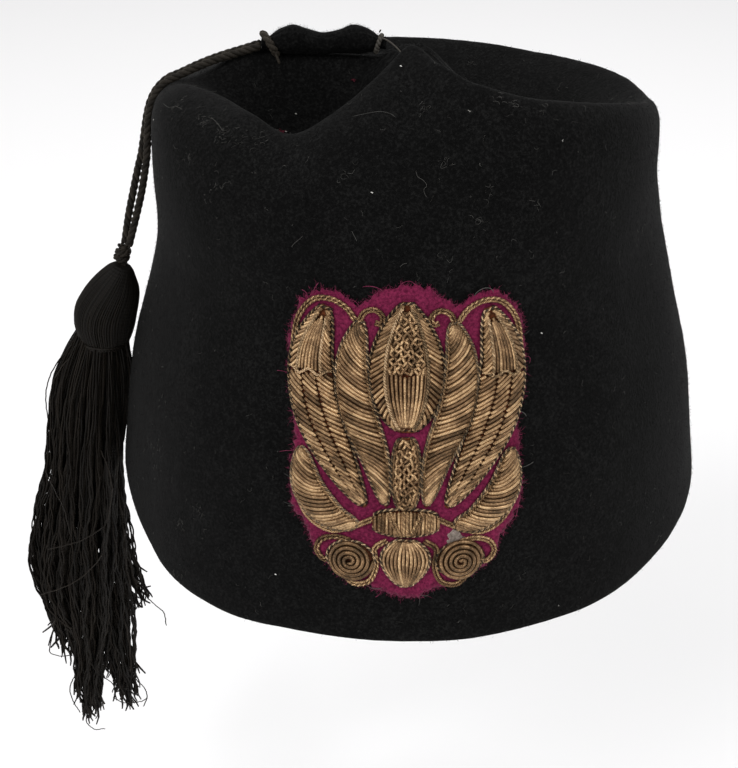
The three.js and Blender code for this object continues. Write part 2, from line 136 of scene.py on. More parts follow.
class Threads:
    """Gathers round threads into one mesh. Each has its length along it and a tone of its own."""

    def __init__(self):
        self.points, self.quads, self.caps, self.along, self.tone = [], [], [], [], []
        self.count = 0

    def add(self, paths, radius, ref=(0, 1, 0), sides=6, tone=None, closed=False, slot=0, ends=0.35):
        """paths is (threads, points, 3), and radius a number or an array of (threads, points)."""
        paths = np.asarray(paths, float)
        paths = paths[None] if paths.ndim == 2 else paths
        many, steps = paths.shape[:2]
        ref = np.broadcast_to(ref, paths.shape)
        radii = np.broadcast_to(radius, (many, steps)).astype(float)
        if closed:
            wrapped, refs = (
                np.concatenate([part[:, -1:], part, part[:, :1]], axis=1) for part in (paths, ref)
            )
            _, side, up = (part[:, 1:-1] for part in frames(wrapped, refs))
        else:
            _, side, up = frames(paths, ref)
            radii[:, [0, -1]] *= ends
        angle = np.linspace(0, math.tau, sides, endpoint=False)[:, None]
        ring = side[:, :, None] * np.cos(angle) + up[:, :, None] * np.sin(angle)
        points = paths[:, :, None] + ring * radii[:, :, None, None]
        base = self.count + np.arange(many)[:, None, None] * steps * sides
        row = np.arange(steps if closed else steps - 1)[None, :, None]
        col = np.arange(sides)[None, None, :]
        after, following = (row + 1) % steps, (col + 1) % sides
        corners = ((row, col), (after, col), (after, following), (row, following))
        quads = np.stack([base + down * sides + across for down, across in corners], axis=-1)
        self.points.append(points.reshape(-1, 3))
        self.quads.append((quads.reshape(-1, 4), slot))
        if not closed:
            start = base[:, 0] + np.arange(sides)
            end = start[:, ::-1] + (steps - 1) * sides
            self.caps.append((np.concatenate([start, end]), slot))
        along = np.array([lengths(path) for path in paths])
        self.along.append(np.repeat(along.ravel(), sides))
        tone = rng.random(many) if tone is None else np.broadcast_to(tone, many)
        self.tone.append(np.repeat(tone, steps * sides))
        self.count += many * steps * sides

    def mesh(self, name, materials):
        faces = self.quads + self.caps
        return mesh_object(
            name,
            np.concatenate(self.points),
            np.concatenate([corners.ravel() for corners, _ in faces]),
            np.concatenate([np.full(len(corners), corners.shape[1]) for corners, _ in faces]),
            materials,
            {"along": np.concatenate(self.along), "tone": np.concatenate(self.tone)},
            np.concatenate([np.full(len(corners), slot) for corners, slot in faces]),
        )


def mesh_object(name, points, loops, sizes, materials, values=None, slots=None):
    """An object of points in millimetres, with faces as runs of point numbers."""
    mesh = bpy.data.meshes.new(name)
    mesh.vertices.add(len(points))
    mesh.vertices.foreach_set("co", (points * MM).astype(np.float32).ravel())
    mesh.loops.add(len(loops))
    mesh.loops.foreach_set("vertex_index", loops.astype(np.int32))
    mesh.polygons.add(len(sizes))
    starts = np.concatenate([[0], np.cumsum(sizes)[:-1]])
    mesh.polygons.foreach_set("loop_start", starts.astype(np.int32))
    mesh.polygons.foreach_set("use_smooth", np.ones(len(sizes), bool))
    for made in materials if isinstance(materials, (list, tuple)) else [materials]:
        mesh.materials.append(made)
    if slots is not None:
        mesh.polygons.foreach_set("material_index", slots.astype(np.int32))
    for key, numbers in (values or {}).items():
        layer = mesh.attributes.new(key, "FLOAT", "POINT")
        layer.data.foreach_set("value", numbers.astype(np.float32))
    mesh.update(calc_edges=True)
    mesh.validate()
    return linked(name, mesh)


def grid_object(name, rows, materials):
    """A skin through rows of points, (rows, columns, 3), closed round its columns."""
    down, across = rows.shape[:2]
    row = np.arange(down - 1)[:, None] * across
    col = np.arange(across)[None]
    following = (col + 1) % across
    corners = [row + col, row + following, row + across + following, row + across + col]
    quads = np.stack(corners, axis=-1).reshape(-1, 4)
    return mesh_object(name, rows.reshape(-1, 3), quads.ravel(), np.full(len(quads), 4), materials)


def fibres(name, roots, outward, lean, length, width, material):
    """Fine tapering hairs on a surface: two joints and a point each, so three triangles."""
    many = len(roots)
    across = unit(np.cross(outward, lean))
    turn = rng.uniform(0, math.pi, (many, 1))
    across = unit(across * np.cos(turn) + outward * np.sin(turn) * 0.6)
    half_length = length[:, None] * 0.5
    direct = unit(outward + lean)
    middle = roots + direct * half_length
    tip = middle + unit(direct + lean * 0.5 + rng.normal(0, 0.35, (many, 3))) * half_length
    half = across * width / 2
    points = np.stack([roots - half, roots + half, middle + half * 0.8, middle - half * 0.8, tip], axis=1)
    corners = np.arange(many)[:, None] * 5 + [0, 1, 2, 3, 3, 2, 4]
    tone = np.repeat(rng.random(many), 5)
    return mesh_object(
        name, points.reshape(-1, 3), corners.ravel(), np.tile([4, 3], many), material, {"tone": tone}
    )


def place(piece, slot, *nodes):
    """Makes a piece ride on the part and stand for the CAD nodes that it is drawn from. slot is not used."""
    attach(piece, "root")
    if nodes:
        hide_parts(*nodes)
    return piece


def new_material(name, color, roughness, **sockets):
    """A Principled material, its node tree and its shader."""
    made = bpy.data.materials.new(name)
    made.use_nodes = True
    shader = made.node_tree.nodes["Principled BSDF"]
    shader.inputs["Base Color"].default_value = (*color, 1)
    shader.inputs["Roughness"].default_value = roughness
    for key, value in sockets.items():
        shader.inputs[key.replace("_", " ")].default_value = value
    return made, made.node_tree, shader


def node(tree, kind, **settings):
    """A node. Settings that start with in_ are values of its sockets."""
    made = tree.nodes.new(kind)
    for key, value in settings.items():
        if key.startswith("in_"):
            made.inputs[key[3:].replace("_", " ")].default_value = value
        else:
            setattr(made, key, value)
    return made


def paint(tree, shader, source, stops):
    """Colours a material by a ramp over source, with stops of (place, colour)."""
    made = tree.nodes.new("ShaderNodeValToRGB")
    elements = made.color_ramp.elements
    while len(elements) < len(stops):
        elements.new(0.5)
    for element, (at, color) in zip(elements, stops):
        element.position = at
        element.color = (*color, 1)
    tree.links.new(source, made.inputs["Fac"])
    tree.links.new(made.outputs["Color"], shader.inputs["Base Color"])


def object_noise(tree, scale, detail, roughness):
    """Noise in the part's own space. scale is in turns per metre."""
    space = tree.nodes.new("ShaderNodeTexCoord")
    made = node(tree, "ShaderNodeTexNoise", in_Scale=scale, in_Detail=detail, in_Roughness=roughness)
    tree.links.new(space.outputs["Object"], made.inputs["Vector"])
    return made.outputs["Fac"]


def math_node(tree, operation, *values):
    made = node(tree, "ShaderNodeMath", operation=operation)
    for socket, value in zip(made.inputs, values):
        if isinstance(value, (int, float)):
            socket.default_value = value
        else:
            tree.links.new(value, socket)
    return made.outputs["Value"]


def weighted(tree, *parts):
    """The sum of some outputs, each times its weight."""
    scaled = [math_node(tree, "MULTIPLY", output, weight) for output, weight in parts]
    total = scaled[0]
    for part in scaled[1:]:
        total = math_node(tree, "ADD", total, part)
    return total


def bump(tree, shader, height, strength, distance_mm):
    made = node(tree, "ShaderNodeBump", in_Strength=strength, in_Distance=distance_mm * MM)
    tree.links.new(height, made.inputs["Height"])
    tree.links.new(made.outputs["Normal"], shader.inputs["Normal"])


def attribute(tree, name):
    return node(tree, "ShaderNodeAttribute", attribute_name=name).outputs["Fac"]


def coils(tree, turns_per_mm):
    """A wave along a thread."""
    angle = math_node(tree, "MULTIPLY", attribute(tree, "along"), math.tau * turns_per_mm)
    return math_node(tree, "SINE", angle)


def felt_material(name, dark, middle, light, sheen):
    made, tree, shader = new_material(
        name, dark, 0.92, Specular_IOR_Level=0.07, Sheen_Weight=sheen, Sheen_Roughness=0.42,
        Sheen_Tint=(0.8, 0.79, 0.77, 1),
    )
    patches = object_noise(tree, 60, 4, 0.65)
    mottle = object_noise(tree, 420, 3, 0.6)
    grain = object_noise(tree, 1250, 4, 0.75)
    mixed = weighted(tree, (patches, 0.14), (grain, 0.7), (mottle, 0.16))
    paint(tree, shader, mixed, [(0.4, dark), (0.5, middle), (0.62, light)])
    bump(tree, shader, weighted(tree, (grain, 1.0), (mottle, 0.8)), 0.7, 0.45)
    return made


def nap_material(name, dark, light):
    """Loose felt fibres: most are as dark as the felt, and a few are dusty."""
    made, tree, shader = new_material(name, dark, 0.95, Specular_IOR_Level=0.05)
    dust = math_node(tree, "POWER", attribute(tree, "tone"), 4.0)
    paint(tree, shader, dust, [(0.0, dark), (1.0, light)])
    return made


def thread_material(name, dark, light, turns_per_mm, sheen=0.25, roughness=0.75):
    """Spun thread: fine plies run along it at a slant, and each thread has a tone of its own."""
    made, tree, shader = new_material(
        name, dark, roughness, Specular_IOR_Level=0.14, Sheen_Weight=sheen, Sheen_Roughness=0.4,
        Sheen_Tint=(0.9, 0.76, 0.58, 1),
    )
    grain = object_noise(tree, 1500, 3, 0.65)
    mixed = weighted(tree, (attribute(tree, "tone"), 0.5), (grain, 0.5))
    paint(tree, shader, mixed, [(0.25, dark), (0.75, light)])
    bump(tree, shader, weighted(tree, (coils(tree, turns_per_mm), 0.4), (grain, 1.0)), 0.5, 0.15)
    return made


COIL_TURNS_PER_MM = 2.6


def bullion_material(name, dark, middle, light, roughness):
    """Antique metal thread: a tight coil of fine wire, tarnished unevenly, with painted highlight on its
    turns and painted shade between them.
    """
    made, tree, shader = new_material(name, middle, roughness, Metallic=0.82, Specular_IOR_Level=0.5)
    tarnish = object_noise(tree, 260, 4, 0.6)
    flecks = object_noise(tree, 2400, 2, 0.5)
    coil = coils(tree, COIL_TURNS_PER_MM)
    # Tarnish, tone and flecks are the metal's own colour; the coil's wave adds painted highlight on each
    # turn and painted shade in the gaps between turns.
    mixed = weighted(tree, (tarnish, 0.5), (attribute(tree, "tone"), 0.22), (flecks, 0.34), (coil, 0.05))
    paint(tree, shader, mixed, [(0.36, dark), (0.52, middle), (0.7, light)])
    bump(tree, shader, weighted(tree, (coil, 1.0), (flecks, 0.8)), 0.55, 0.12)
    return made


felt = felt_material("felt", (0.0007,) * 3, (0.0019,) * 3, (0.0082, 0.0082, 0.008), 0.0175)
nap = nap_material("felt_nap", (0.0008,) * 3, (0.024, 0.024, 0.0232))
lint = thread_material("lint", (0.022, 0.0215, 0.0205), (0.095, 0.093, 0.087), 0.3, 0.05)
bright_lint = thread_material("bright_lint", (0.3, 0.29, 0.27), (0.7, 0.69, 0.66), 0.3, 0.05)
red_lint = thread_material("red_lint", (0.05, 0.006, 0.012), (0.13, 0.014, 0.03), 0.3, 0.05)
wool = felt_material(
    "magenta_wool", (0.064, 0.004, 0.0195), (0.12, 0.0095, 0.037), (0.19, 0.018, 0.058), 0.08
)
wool_fibre = felt_material(
    "magenta_fibre", (0.083, 0.007, 0.027), (0.135, 0.016, 0.046), (0.21, 0.03, 0.078), 0.1
)
moth = felt_material("worn_backing", (0.12, 0.095, 0.08), (0.21, 0.175, 0.15), (0.32, 0.27, 0.235), 0.08)
padding_cloth = felt_material(
    "padding_felt", (0.03, 0.012, 0.006), (0.08, 0.024, 0.01), (0.15, 0.04, 0.014), 0.05
)
bullion = bullion_material(
    "bullion", (0.06, 0.036, 0.0175), (0.235, 0.137, 0.067), (0.63, 0.425, 0.228), 0.34
)
pearl = bullion_material("outline_cord", (0.014, 0.01, 0.007), (0.05, 0.036, 0.024), (0.2, 0.15, 0.1), 0.45)
pale_pearl = bullion_material(
    "pale_outline", (0.07, 0.047, 0.026), (0.29, 0.19, 0.1), (0.72, 0.52, 0.32), 0.4
)
cord_thread = thread_material("cord_thread", (0.0058, 0.0047, 0.0033), (0.0205, 0.0168, 0.0125), 1.6, 0.08)
tassel_thread = thread_material(
    "tassel_thread", (0.0023, 0.0017, 0.0011), (0.0118, 0.0088, 0.0062), 0.9, 0.035, 0.6
)
grey_thread = thread_material("grey_thread", (0.022, 0.02, 0.017), (0.055, 0.05, 0.043), 1.2, 0.1)


CORD_STRANDS = 3
CORD_STRAND_RADIUS = 0.64
CORD_STRAND_REACH = 0.56
CORD_PITCH = 6.2
CORD_STEPS = 260
# The route of part.mjs: the middle of the pair, and half the distance between the two cords in x and y
CORD_ROUTE = np.array(
    [
        [-43, 0, 134.7, 0, 1.6], [-47.7, 0, 133.2, 0, 1.5], [-52.7, 0, 131.7, 0, 1.5],
        [-57.7, 0, 130, 0, 1.5], [-62.8, 0, 127.9, 0, 1.5], [-67.1, 0, 125.9, 0, 1.5],
        [-71, 0, 124.1, 0.1, 1.5], [-74.3, -0.3, 120.9, 0.2, 1.5], [-76.3, -0.6, 117.1, 0.3, 1.5],
        [-77.4, -1, 113.2, 0.4, 1.45], [-78, -1.6, 109.3, 0.6, 1.45], [-78.5, -2.2, 105.5, 0.8, 1.4],
        [-79.1, -2.9, 101.6, 1, 1.35], [-80, -3.6, 97.8, 1.2, 1.25], [-81.6, -4.8, 91, 1.35, 1.1],
        [-83.5, -5.8, 83.8, 1.25, 1.1], [-85.9, -6.8, 74.3, 0.8, 1.1],
    ]
)


def cord(name, side):
    """One cord of three twisted strands, on its own side of the pair's middle."""
    x, y, z, apart_x, apart_y = CORD_ROUTE.T
    route = catmull(np.stack([x - side * apart_x, y + side * apart_y, z], axis=1))
    path = even(route, CORD_STEPS)
    threads = Threads()
    strands = twist(path, (0, 1, 0), CORD_STRANDS, CORD_STRAND_REACH, side * CORD_PITCH, turn=side * 0.9)
    threads.add(strands, CORD_STRAND_RADIUS, sides=8)
    piece = place(threads.mesh(name + "_twisted", cord_thread), "thread", name)


cord("cord_front", -1)
cord("cord_back", 1)


NAP_HAIRS = 34000
INSIDE_HAIRS = 5000
ROLL_HAIRS = 2600
# The felt's own unevenness: how high, in millimetres, and how many turns per metre
UNEVENNESS = [(0.22, 60), (0.1, 260)]
# Rounding draws the cage in, so the cage is grown until its own points lie where the CAD has them
CAGE_FITS = 3
# Where the felt swells up under the cords and the roll: middle, direction, height and reach
SWELLS = [
    ((-69.5, -1.5, 121.5), (-0.75, 0, 0.66), 1.1, 5.5),
    ((-48.5, 0, 130.6), (0, 0, 1), 1.1, 5),
    ((-43.5, 1.5, 131), (0, 0, 1), 1.3, 3.5),
]


def points_of(mesh):
    """A mesh's points as an array, in metres."""
    points = np.empty(len(mesh.vertices) * 3, np.float32)
    mesh.vertices.foreach_get("co", points)
    return points.reshape(-1, 3)


def evaluated(piece):
    """A piece with its modifiers applied."""
    bpy.context.view_layer.update()
    return piece.evaluated_get(bpy.context.evaluated_depsgraph_get())


def crown_piece():
    """The CAD crown's surface as smooth felt, with the small unevenness of pressed wool."""
    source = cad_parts["crown"]
    shell = bmesh.new()
    shell.from_mesh(source.data)
    bmesh.ops.remove_doubles(shell, verts=shell.verts, dist=2e-5)
    bmesh.ops.join_triangles(
        shell, faces=shell.faces, angle_face_threshold=math.pi, angle_shape_threshold=math.pi
    )
    mesh = bpy.data.meshes.new("felt_crown_cage")
    shell.to_mesh(mesh)
    shell.free()
    cage = linked("felt_crown_cage", mesh)
    rounding = cage.modifiers.new("rounding", "SUBSURF")
    rounding.levels = 2
    rounding.render_levels = 2
    wanted = points_of(mesh)
    for _ in range(CAGE_FITS):
        smooth = bpy.data.meshes.new_from_object(evaluated(cage))
        grown = points_of(mesh) + wanted - points_of(smooth)[: len(wanted)]
        mesh.vertices.foreach_set("co", grown.ravel())
        mesh.update()
    smooth = bpy.data.meshes.new_from_object(evaluated(cage))
    bpy.data.objects.remove(cage)
    smooth.name = "felt_crown"
    points = points_of(smooth)
    normals = np.empty_like(points)
    smooth.vertex_normals.foreach_get("vector", normals.ravel())
    uneven = [sum(size * noise.noise(Vector(p) * scale) for size, scale in UNEVENNESS) for p in points]
    moved = points + normals * np.array(uneven)[:, None] * MM
    for middle, direction, height, reach in SWELLS:
        distance = np.linalg.norm(points / MM - middle, axis=1)
        share = np.exp(-0.5 * (distance / reach) ** 2)
        moved = moved + np.array(direction) * (share * height * MM)[:, None]
    smooth.vertices.foreach_set("co", moved.astype(np.float32).ravel())
    smooth.update()
    smooth.polygons.foreach_set("use_smooth", np.ones(len(smooth.polygons), bool))
    smooth.materials.clear()
    smooth.materials.append(felt)
    return place(linked("felt_crown", smooth), "felt", "crown")


crown = crown_piece()


def surface(piece):
    """A piece's triangles in millimetres, (triangles, 3, 3), and their normals."""
    mesh = piece.data
    mesh.calc_loop_triangles()
    corners = np.empty(len(mesh.loop_triangles) * 3, np.int32)
    mesh.loop_triangles.foreach_get("vertices", corners)
    triangles = points_of(mesh)[corners.reshape(-1, 3)].astype(float) / MM
    return triangles, unit(np.cross(triangles[:, 1] - triangles[:, 0], triangles[:, 2] - triangles[:, 0]))


crown_triangles, crown_normals = surface(crown)
# Seen from this point below the crown, its outside faces away and its head side faces towards it
FAR_BELOW = np.array([0, 0, -100.0])
facing = np.einsum("ij,ij->i", crown_triangles.mean(axis=1) - FAR_BELOW, crown_normals)
outside = facing > 0


def scatter(triangles, normals, count):
    """count random points on triangles, by area, with their normals."""
    sides_a = triangles[:, 1] - triangles[:, 0]
    sides_b = triangles[:, 2] - triangles[:, 0]
    area = np.linalg.norm(np.cross(sides_a, sides_b), axis=1)
    chosen = rng.choice(len(triangles), count, p=area / area.sum())
    u, v = rng.random((2, count, 1))
    over = (u + v) > 1
    u, v = np.where(over, 1 - u, u), np.where(over, 1 - v, v)
    return triangles[chosen, 0] + u * sides_a[chosen] + v * sides_b[chosen], normals[chosen]


def nap_lean(normals, down, disorder):
    """Directions along a surface, combed down it."""
    wish = np.array([0, 0, -down]) + rng.normal(0, disorder, normals.shape)
    return wish - normals * np.einsum("ij,ij->i", wish, normals)[:, None]


def nap_piece(name, triangles, normals, count, down, disorder, longest, width):
    """Loose fibres on a felt surface."""
    roots, out = scatter(triangles, normals, count)
    lean = nap_lean(out, down, disorder)
    place(fibres(name, roots, out, lean, rng.uniform(0.5, longest, count), width, nap), "felt")


nap_piece("felt_nap", crown_triangles[outside], crown_normals[outside], NAP_HAIRS, 0.9, 1.2, 1.3, 0.075)
nap_piece(
    "felt_nap_inside", crown_triangles[~outside], crown_normals[~outside], INSIDE_HAIRS, 0.2, 1.2, 1.2, 0.06
)

crown_tree = BVHTree.FromObject(crown, bpy.context.evaluated_depsgraph_get())


def hit(start, direction):
    """Where a ray first meets the crown, in millimetres."""
    place_hit, normal, _, _ = crown_tree.ray_cast(Vector(start) * MM, Vector(direction))
    return np.array(place_hit) / MM, np.array(normal)


def seen_at(u, v):
    """The place on the crown that the photograph shows at a pixel, and its normal, in millimetres."""
    half = camera_data.sensor_width / 2 / camera_data.lens
    turned = camera.rotation_quaternion @ Vector(
        ((u - PHOTO_WIDTH / 2) / (PHOTO_HEIGHT / 2) * half, (1 - v / (PHOTO_HEIGHT / 2)) * half, -1)
    )
    place_hit, normal, _, _ = crown_tree.ray_cast(camera.location, turned.normalized())
    if place_hit is None:
        return None, None
    return np.array(place_hit) / MM, np.array(normal)


# Lint: fine pale hairs and specks that cling to the felt
LINT_HAIRS = 620
LONG_LINT = 14
LINT_SPECKS = 170
BRIGHT_SPECKS = 10
# Where the red tufts lie, in the photograph's pixels
RED_TUFTS = [(354, 80), (283, 132)]
# Where lint gathers, in the same pixels: the middle, its reach and how many hairs
DUSTY_PLACES = [
    (178, 107, 9, 16), (203, 118, 9, 18), (222, 134, 9, 24), (240, 139, 13, 10), (192, 158, 10, 10),
    (261, 144, 12, 10), (214, 186, 14, 8), (424, 107, 8, 12), (470, 62, 5, 5), (497, 98, 9, 7),
    (512, 105, 8, 9), (543, 111, 7, 5), (447, 157, 9, 9), (489, 193, 8, 6), (535, 203, 8, 6),
    (476, 222, 7, 8), (155, 447, 9, 14), (166, 404, 7, 7), (158, 468, 7, 6), (181, 524, 7, 12),
    (200, 511, 8, 8), (178, 573, 8, 12), (620, 98, 10, 8), (648, 240, 12, 9), (350, 180, 12, 6),
]
# A bright bit's bent shape, where such bits lie, and the routes of single longer hairs
BIT_SHAPE = [[-0.3, 0, 0.1], [-0.1, 0, 0.15], [0.12, 0, -0.05], [0.3, 0, 0.05]]
BRIGHT_BITS = [(296, 114), (286, 132), (372, 193), (401, 67), (541, 333), (276, 574)]
SEEN_HAIRS = [
    [(353, 117), (362, 115), (372, 113), (380, 112), (390, 114), (396, 118)],
    [(416, 171), (418, 177), (424, 181), (427, 186), (424, 190), (427, 198)],
    [(292, 247), (295, 243), (300, 239), (303, 236)],
    [(400, 267), (403, 264), (407, 263)],
    [(352, 231), (355, 237), (357, 241)],
    [(164, 104), (170, 108), (176, 107), (183, 110)],
    [(212, 118), (218, 124), (223, 131)],
]


def settle(point, off):
    """The nearest place on the crown, off its surface."""
    near, normal, _, _ = crown_tree.find_nearest(Vector(point) * MM)
    return np.array(near) / MM + np.array(normal) * off


def lint_hairs(threads, count, shortest, longest, radius, steps, sides=3, slot=0):
    """Scatters bent hairs over the crown's outside."""
    roots, out = scatter(crown_triangles[outside], crown_normals[outside], count)
    level = unit(nap_lean(out, 0.2, 1.0))
    span = rng.uniform(shortest, longest, (count, 1, 1))
    share = np.linspace(-0.5, 0.5, steps)[None, :, None]
    curl = rng.uniform(-0.35, 0.35, (count, 1, 1))
    across = np.cross(out, level)
    path = roots[:, None] + level[:, None] * share * span + across[:, None] * curl * span * (4 * share**2)
    kinks = np.cumsum(rng.normal(0, 0.16, path.shape), axis=1)
    path = path + kinks - out[:, None] * np.einsum("ijk,ik->ij", kinks, out)[..., None]
    settled = [
        [settle(point, 0.22 + 0.16 * math.sin(j + i)) for j, point in enumerate(line)]
        for i, line in enumerate(path)
    ]
    threads.add(settled, radius, ref=out[:, None], sides=sides, slot=slot)


def dusty_hairs():
    """Short curled hairs that lie close together where lint has gathered."""
    made = []
    for u, v, reach, count in DUSTY_PLACES:
        for spot in rng.normal((u, v), reach / 2, (count, 2)):
            middle, _ = seen_at(*spot)
            if middle is None:
                continue
            heading, curl = rng.uniform(0, math.tau), rng.uniform(-1.6, 1.6)
            share = np.linspace(-1, 1, 7)
            half = rng.uniform(0.25, 1.1)
            x = half * share * math.cos(heading) - curl * half * share**2 * math.sin(heading)
            z = half * share * math.sin(heading) + curl * half * share**2 * math.cos(heading)
            path = middle + np.stack([x, 0 * x, z], axis=1)
            made.append([settle(point, 0.25 + 0.1 * math.sin(4 * k)) for k, point in enumerate(path)])
    return np.array(made)


def red_tufts():
    """Two small tufts of dark red thread caught on the fold in front of the pit."""
    made = []
    for pixel in RED_TUFTS:
        for _ in range(7):
            share = np.linspace(0, 1, 7)[:, None]
            lean = rng.normal(0, 1, 3) * [1, 0.6, 0.4]
            path = seen_at(*pixel)[0] + lean * share * 0.9 + rng.normal(0, 0.15, (7, 3))
            made.append([settle(point, 0.35 + 0.2 * math.sin(3 * k)) for k, point in enumerate(path)])
    return np.array(made)


def lint_piece():
    threads = Threads()
    lint_hairs(threads, LINT_HAIRS, 0.5, 2.2, 0.03, steps=7)
    threads.add(dusty_hairs(), 0.036, sides=3)
    lint_hairs(threads, LONG_LINT, 3.0, 6.0, 0.03, steps=16)
    lint_hairs(threads, LINT_SPECKS, 0.3, 0.8, 0.06, steps=4, sides=4)
    lint_hairs(threads, BRIGHT_SPECKS, 0.3, 0.5, 0.08, steps=4, sides=5, slot=1)
    for pixel in BRIGHT_BITS:
        middle, normal = seen_at(*pixel)
        threads.add(middle + normal * 0.3 + np.array(BIT_SHAPE), 0.16, ref=normal, sides=6, slot=1)
    for pixels in SEEN_HAIRS:
        found = [seen_at(*pixel) for pixel in pixels]
        path = even(catmull([place_seen + normal * 0.3 for place_seen, normal in found], 8), 20)
        threads.add(path, 0.04, ref=found[0][1], sides=4, tone=0.7)
    threads.add(red_tufts(), 0.07, sides=4, slot=2)
    return place(threads.mesh("lint", [lint, bright_lint, red_lint]), "thread")


lint_piece()


PATCH_ASIDE = -1.6
PATCH_MIDDLE = 51.5
PATCH_HALF_WIDTH = 32.5
PATCH_HALF_HEIGHT = 44
PATCH_CLOTH = 1.2
SEAM = 0.3
GRID_HALF_X = 38
GRID_HALF_Y = 49
# The outline's right half from top to bottom, as shares of the patch's half width and height
PATCH_OUTLINE = [
    [0, 1], [0.2, 0.97], [0.38, 0.86], [0.56, 0.93], [0.78, 0.91], [0.95, 0.72], [1, 0.42], [0.95, 0.12],
    [0.97, -0.16], [0.98, -0.4], [0.84, -0.58], [0.72, -0.76], [0.5, -0.88], [0.24, -0.94], [0, -1],
]


def wall_grid():
    """The crown's wall under the patch, a point and a normal every millimetre."""
    across = np.arange(-GRID_HALF_X, GRID_HALF_X + 1)
    upward = np.arange(-GRID_HALF_Y, GRID_HALF_Y + 1)
    points = np.empty((len(upward), len(across), 3))
    for row, y in enumerate(upward):
        z = PATCH_MIDDLE + y
        front = -hit((0, -200, z), (0, 1, 0))[0][1]
        for column, x in enumerate(across):
            azimuth = (PATCH_ASIDE + x) / front
            direction = (-math.sin(azimuth), math.cos(azimuth), 0)
            start = (200 * math.sin(azimuth), -200 * math.cos(azimuth), z)
            points[row, column] = hit(start, direction)[0]
    normals = unit(np.cross(np.gradient(points, axis=1), np.gradient(points, axis=0)))
    return points, normals


wall_points, wall_normals = wall_grid()


def on_wall(x, y, off):
    """The place at (x, y) of the patch, off its wall, and the wall's normal there."""
    x, y, off = np.broadcast_arrays(np.asarray(x, float), y, off)
    column = np.clip(x + GRID_HALF_X, 0, 2 * GRID_HALF_X - 1e-6)
    row = np.clip(y + GRID_HALF_Y, 0, 2 * GRID_HALF_Y - 1e-6)
    c, r = column.astype(int), row.astype(int)
    u, v = (column - c)[..., None], (row - r)[..., None]

    def blend(values):
        low = values[r, c] * (1 - u) + values[r, c + 1] * u
        high = values[r + 1, c] * (1 - u) + values[r + 1, c + 1] * u
        return low * (1 - v) + high * v

    normal = unit(blend(wall_normals))
    return blend(wall_points) + normal * off[..., None], normal


PATCH_COLUMNS = 420
PATCH_RINGS = 24
# The outer share of the cloth that rounds down to its edge
EDGE_SHARE = 0.035
FRAY_DEPTH = 0.62
# The frayed edge keeps inside the solid's outline by this much
CUT_INSIDE = 0.3
MOTH_SPOT = (13.2, -27.2)
MOTH_RADIUS = (2.3, 5.2)


def patch_outline():
    right = np.array(PATCH_OUTLINE)
    left = right[1:-1][::-1] * [-1, 1]
    corners = np.vstack([right, left, right[:1]]) * [PATCH_HALF_WIDTH, PATCH_HALF_HEIGHT]
    closed = np.vstack([corners[-2], corners, corners[1]])
    smooth = catmull(closed)[SPAN_POINTS:-SPAN_POINTS]
    return even(smooth, PATCH_COLUMNS + 1)[:-1]


outline = patch_outline()
wave_at = np.arange(PATCH_COLUMNS) / PATCH_COLUMNS * math.tau
fray = sum(
    weight * np.sin(wave_at * turns + phase)
    for weight, turns, phase in ((0.4, 23, 0.4), (0.35, 41, 2.1), (0.3, 67, 4.0), (0.25, 103, 1.2))
)
fray = fray + rng.normal(0, 0.45, PATCH_COLUMNS)
from_middle = np.linalg.norm(outline, axis=1)
outline = outline * (1 + (fray * FRAY_DEPTH - CUT_INSIDE) / from_middle)[:, None]


def patch_piece():
    share = np.linspace(0.02, 1, PATCH_RINGS) ** 0.8
    x = share[:, None] * outline[:, 0]
    y = share[:, None] * outline[:, 1]
    into_edge = np.clip((share - 1 + EDGE_SHARE) / EDGE_SHARE, 0, 1)
    rounded = np.sqrt(1 - into_edge**2)[:, None]
    ripple = 0.12 * np.sin(x * 0.9 + 1.3 * np.sin(y * 0.5)) * np.cos(y * 0.7)
    top, _ = on_wall(x, y, SEAM + PATCH_CLOTH * (0.55 + 0.45 * rounded) + ripple)
    low, _ = on_wall(x, y, SEAM + 0.05 + PATCH_CLOTH * 0.4 * (1 - rounded))
    rows = np.concatenate([top, low[::-1]])
    piece = grid_object("patch_cloth", rows[:, ::-1], [wool, moth])
    worn = np.zeros(len(piece.data.polygons), np.int32)
    beside, above = x[:-1] - MOTH_SPOT[0], y[:-1] - MOTH_SPOT[1]
    edge = 1 + 0.35 * np.sin(np.arctan2(above, beside) * 3 + 1)
    spot = ((beside / MOTH_RADIUS[0]) ** 2 + (above / MOTH_RADIUS[1]) ** 2 < edge)[:, ::-1]
    worn[: spot.size] = spot.ravel()
    piece.data.polygons.foreach_set("material_index", worn)
    return place(piece, "patch_cloth", "patch")


patch = patch_piece()

FRINGE_HAIRS = 3000
FACE_HAIRS = 9000
PULLED_THREADS = 46


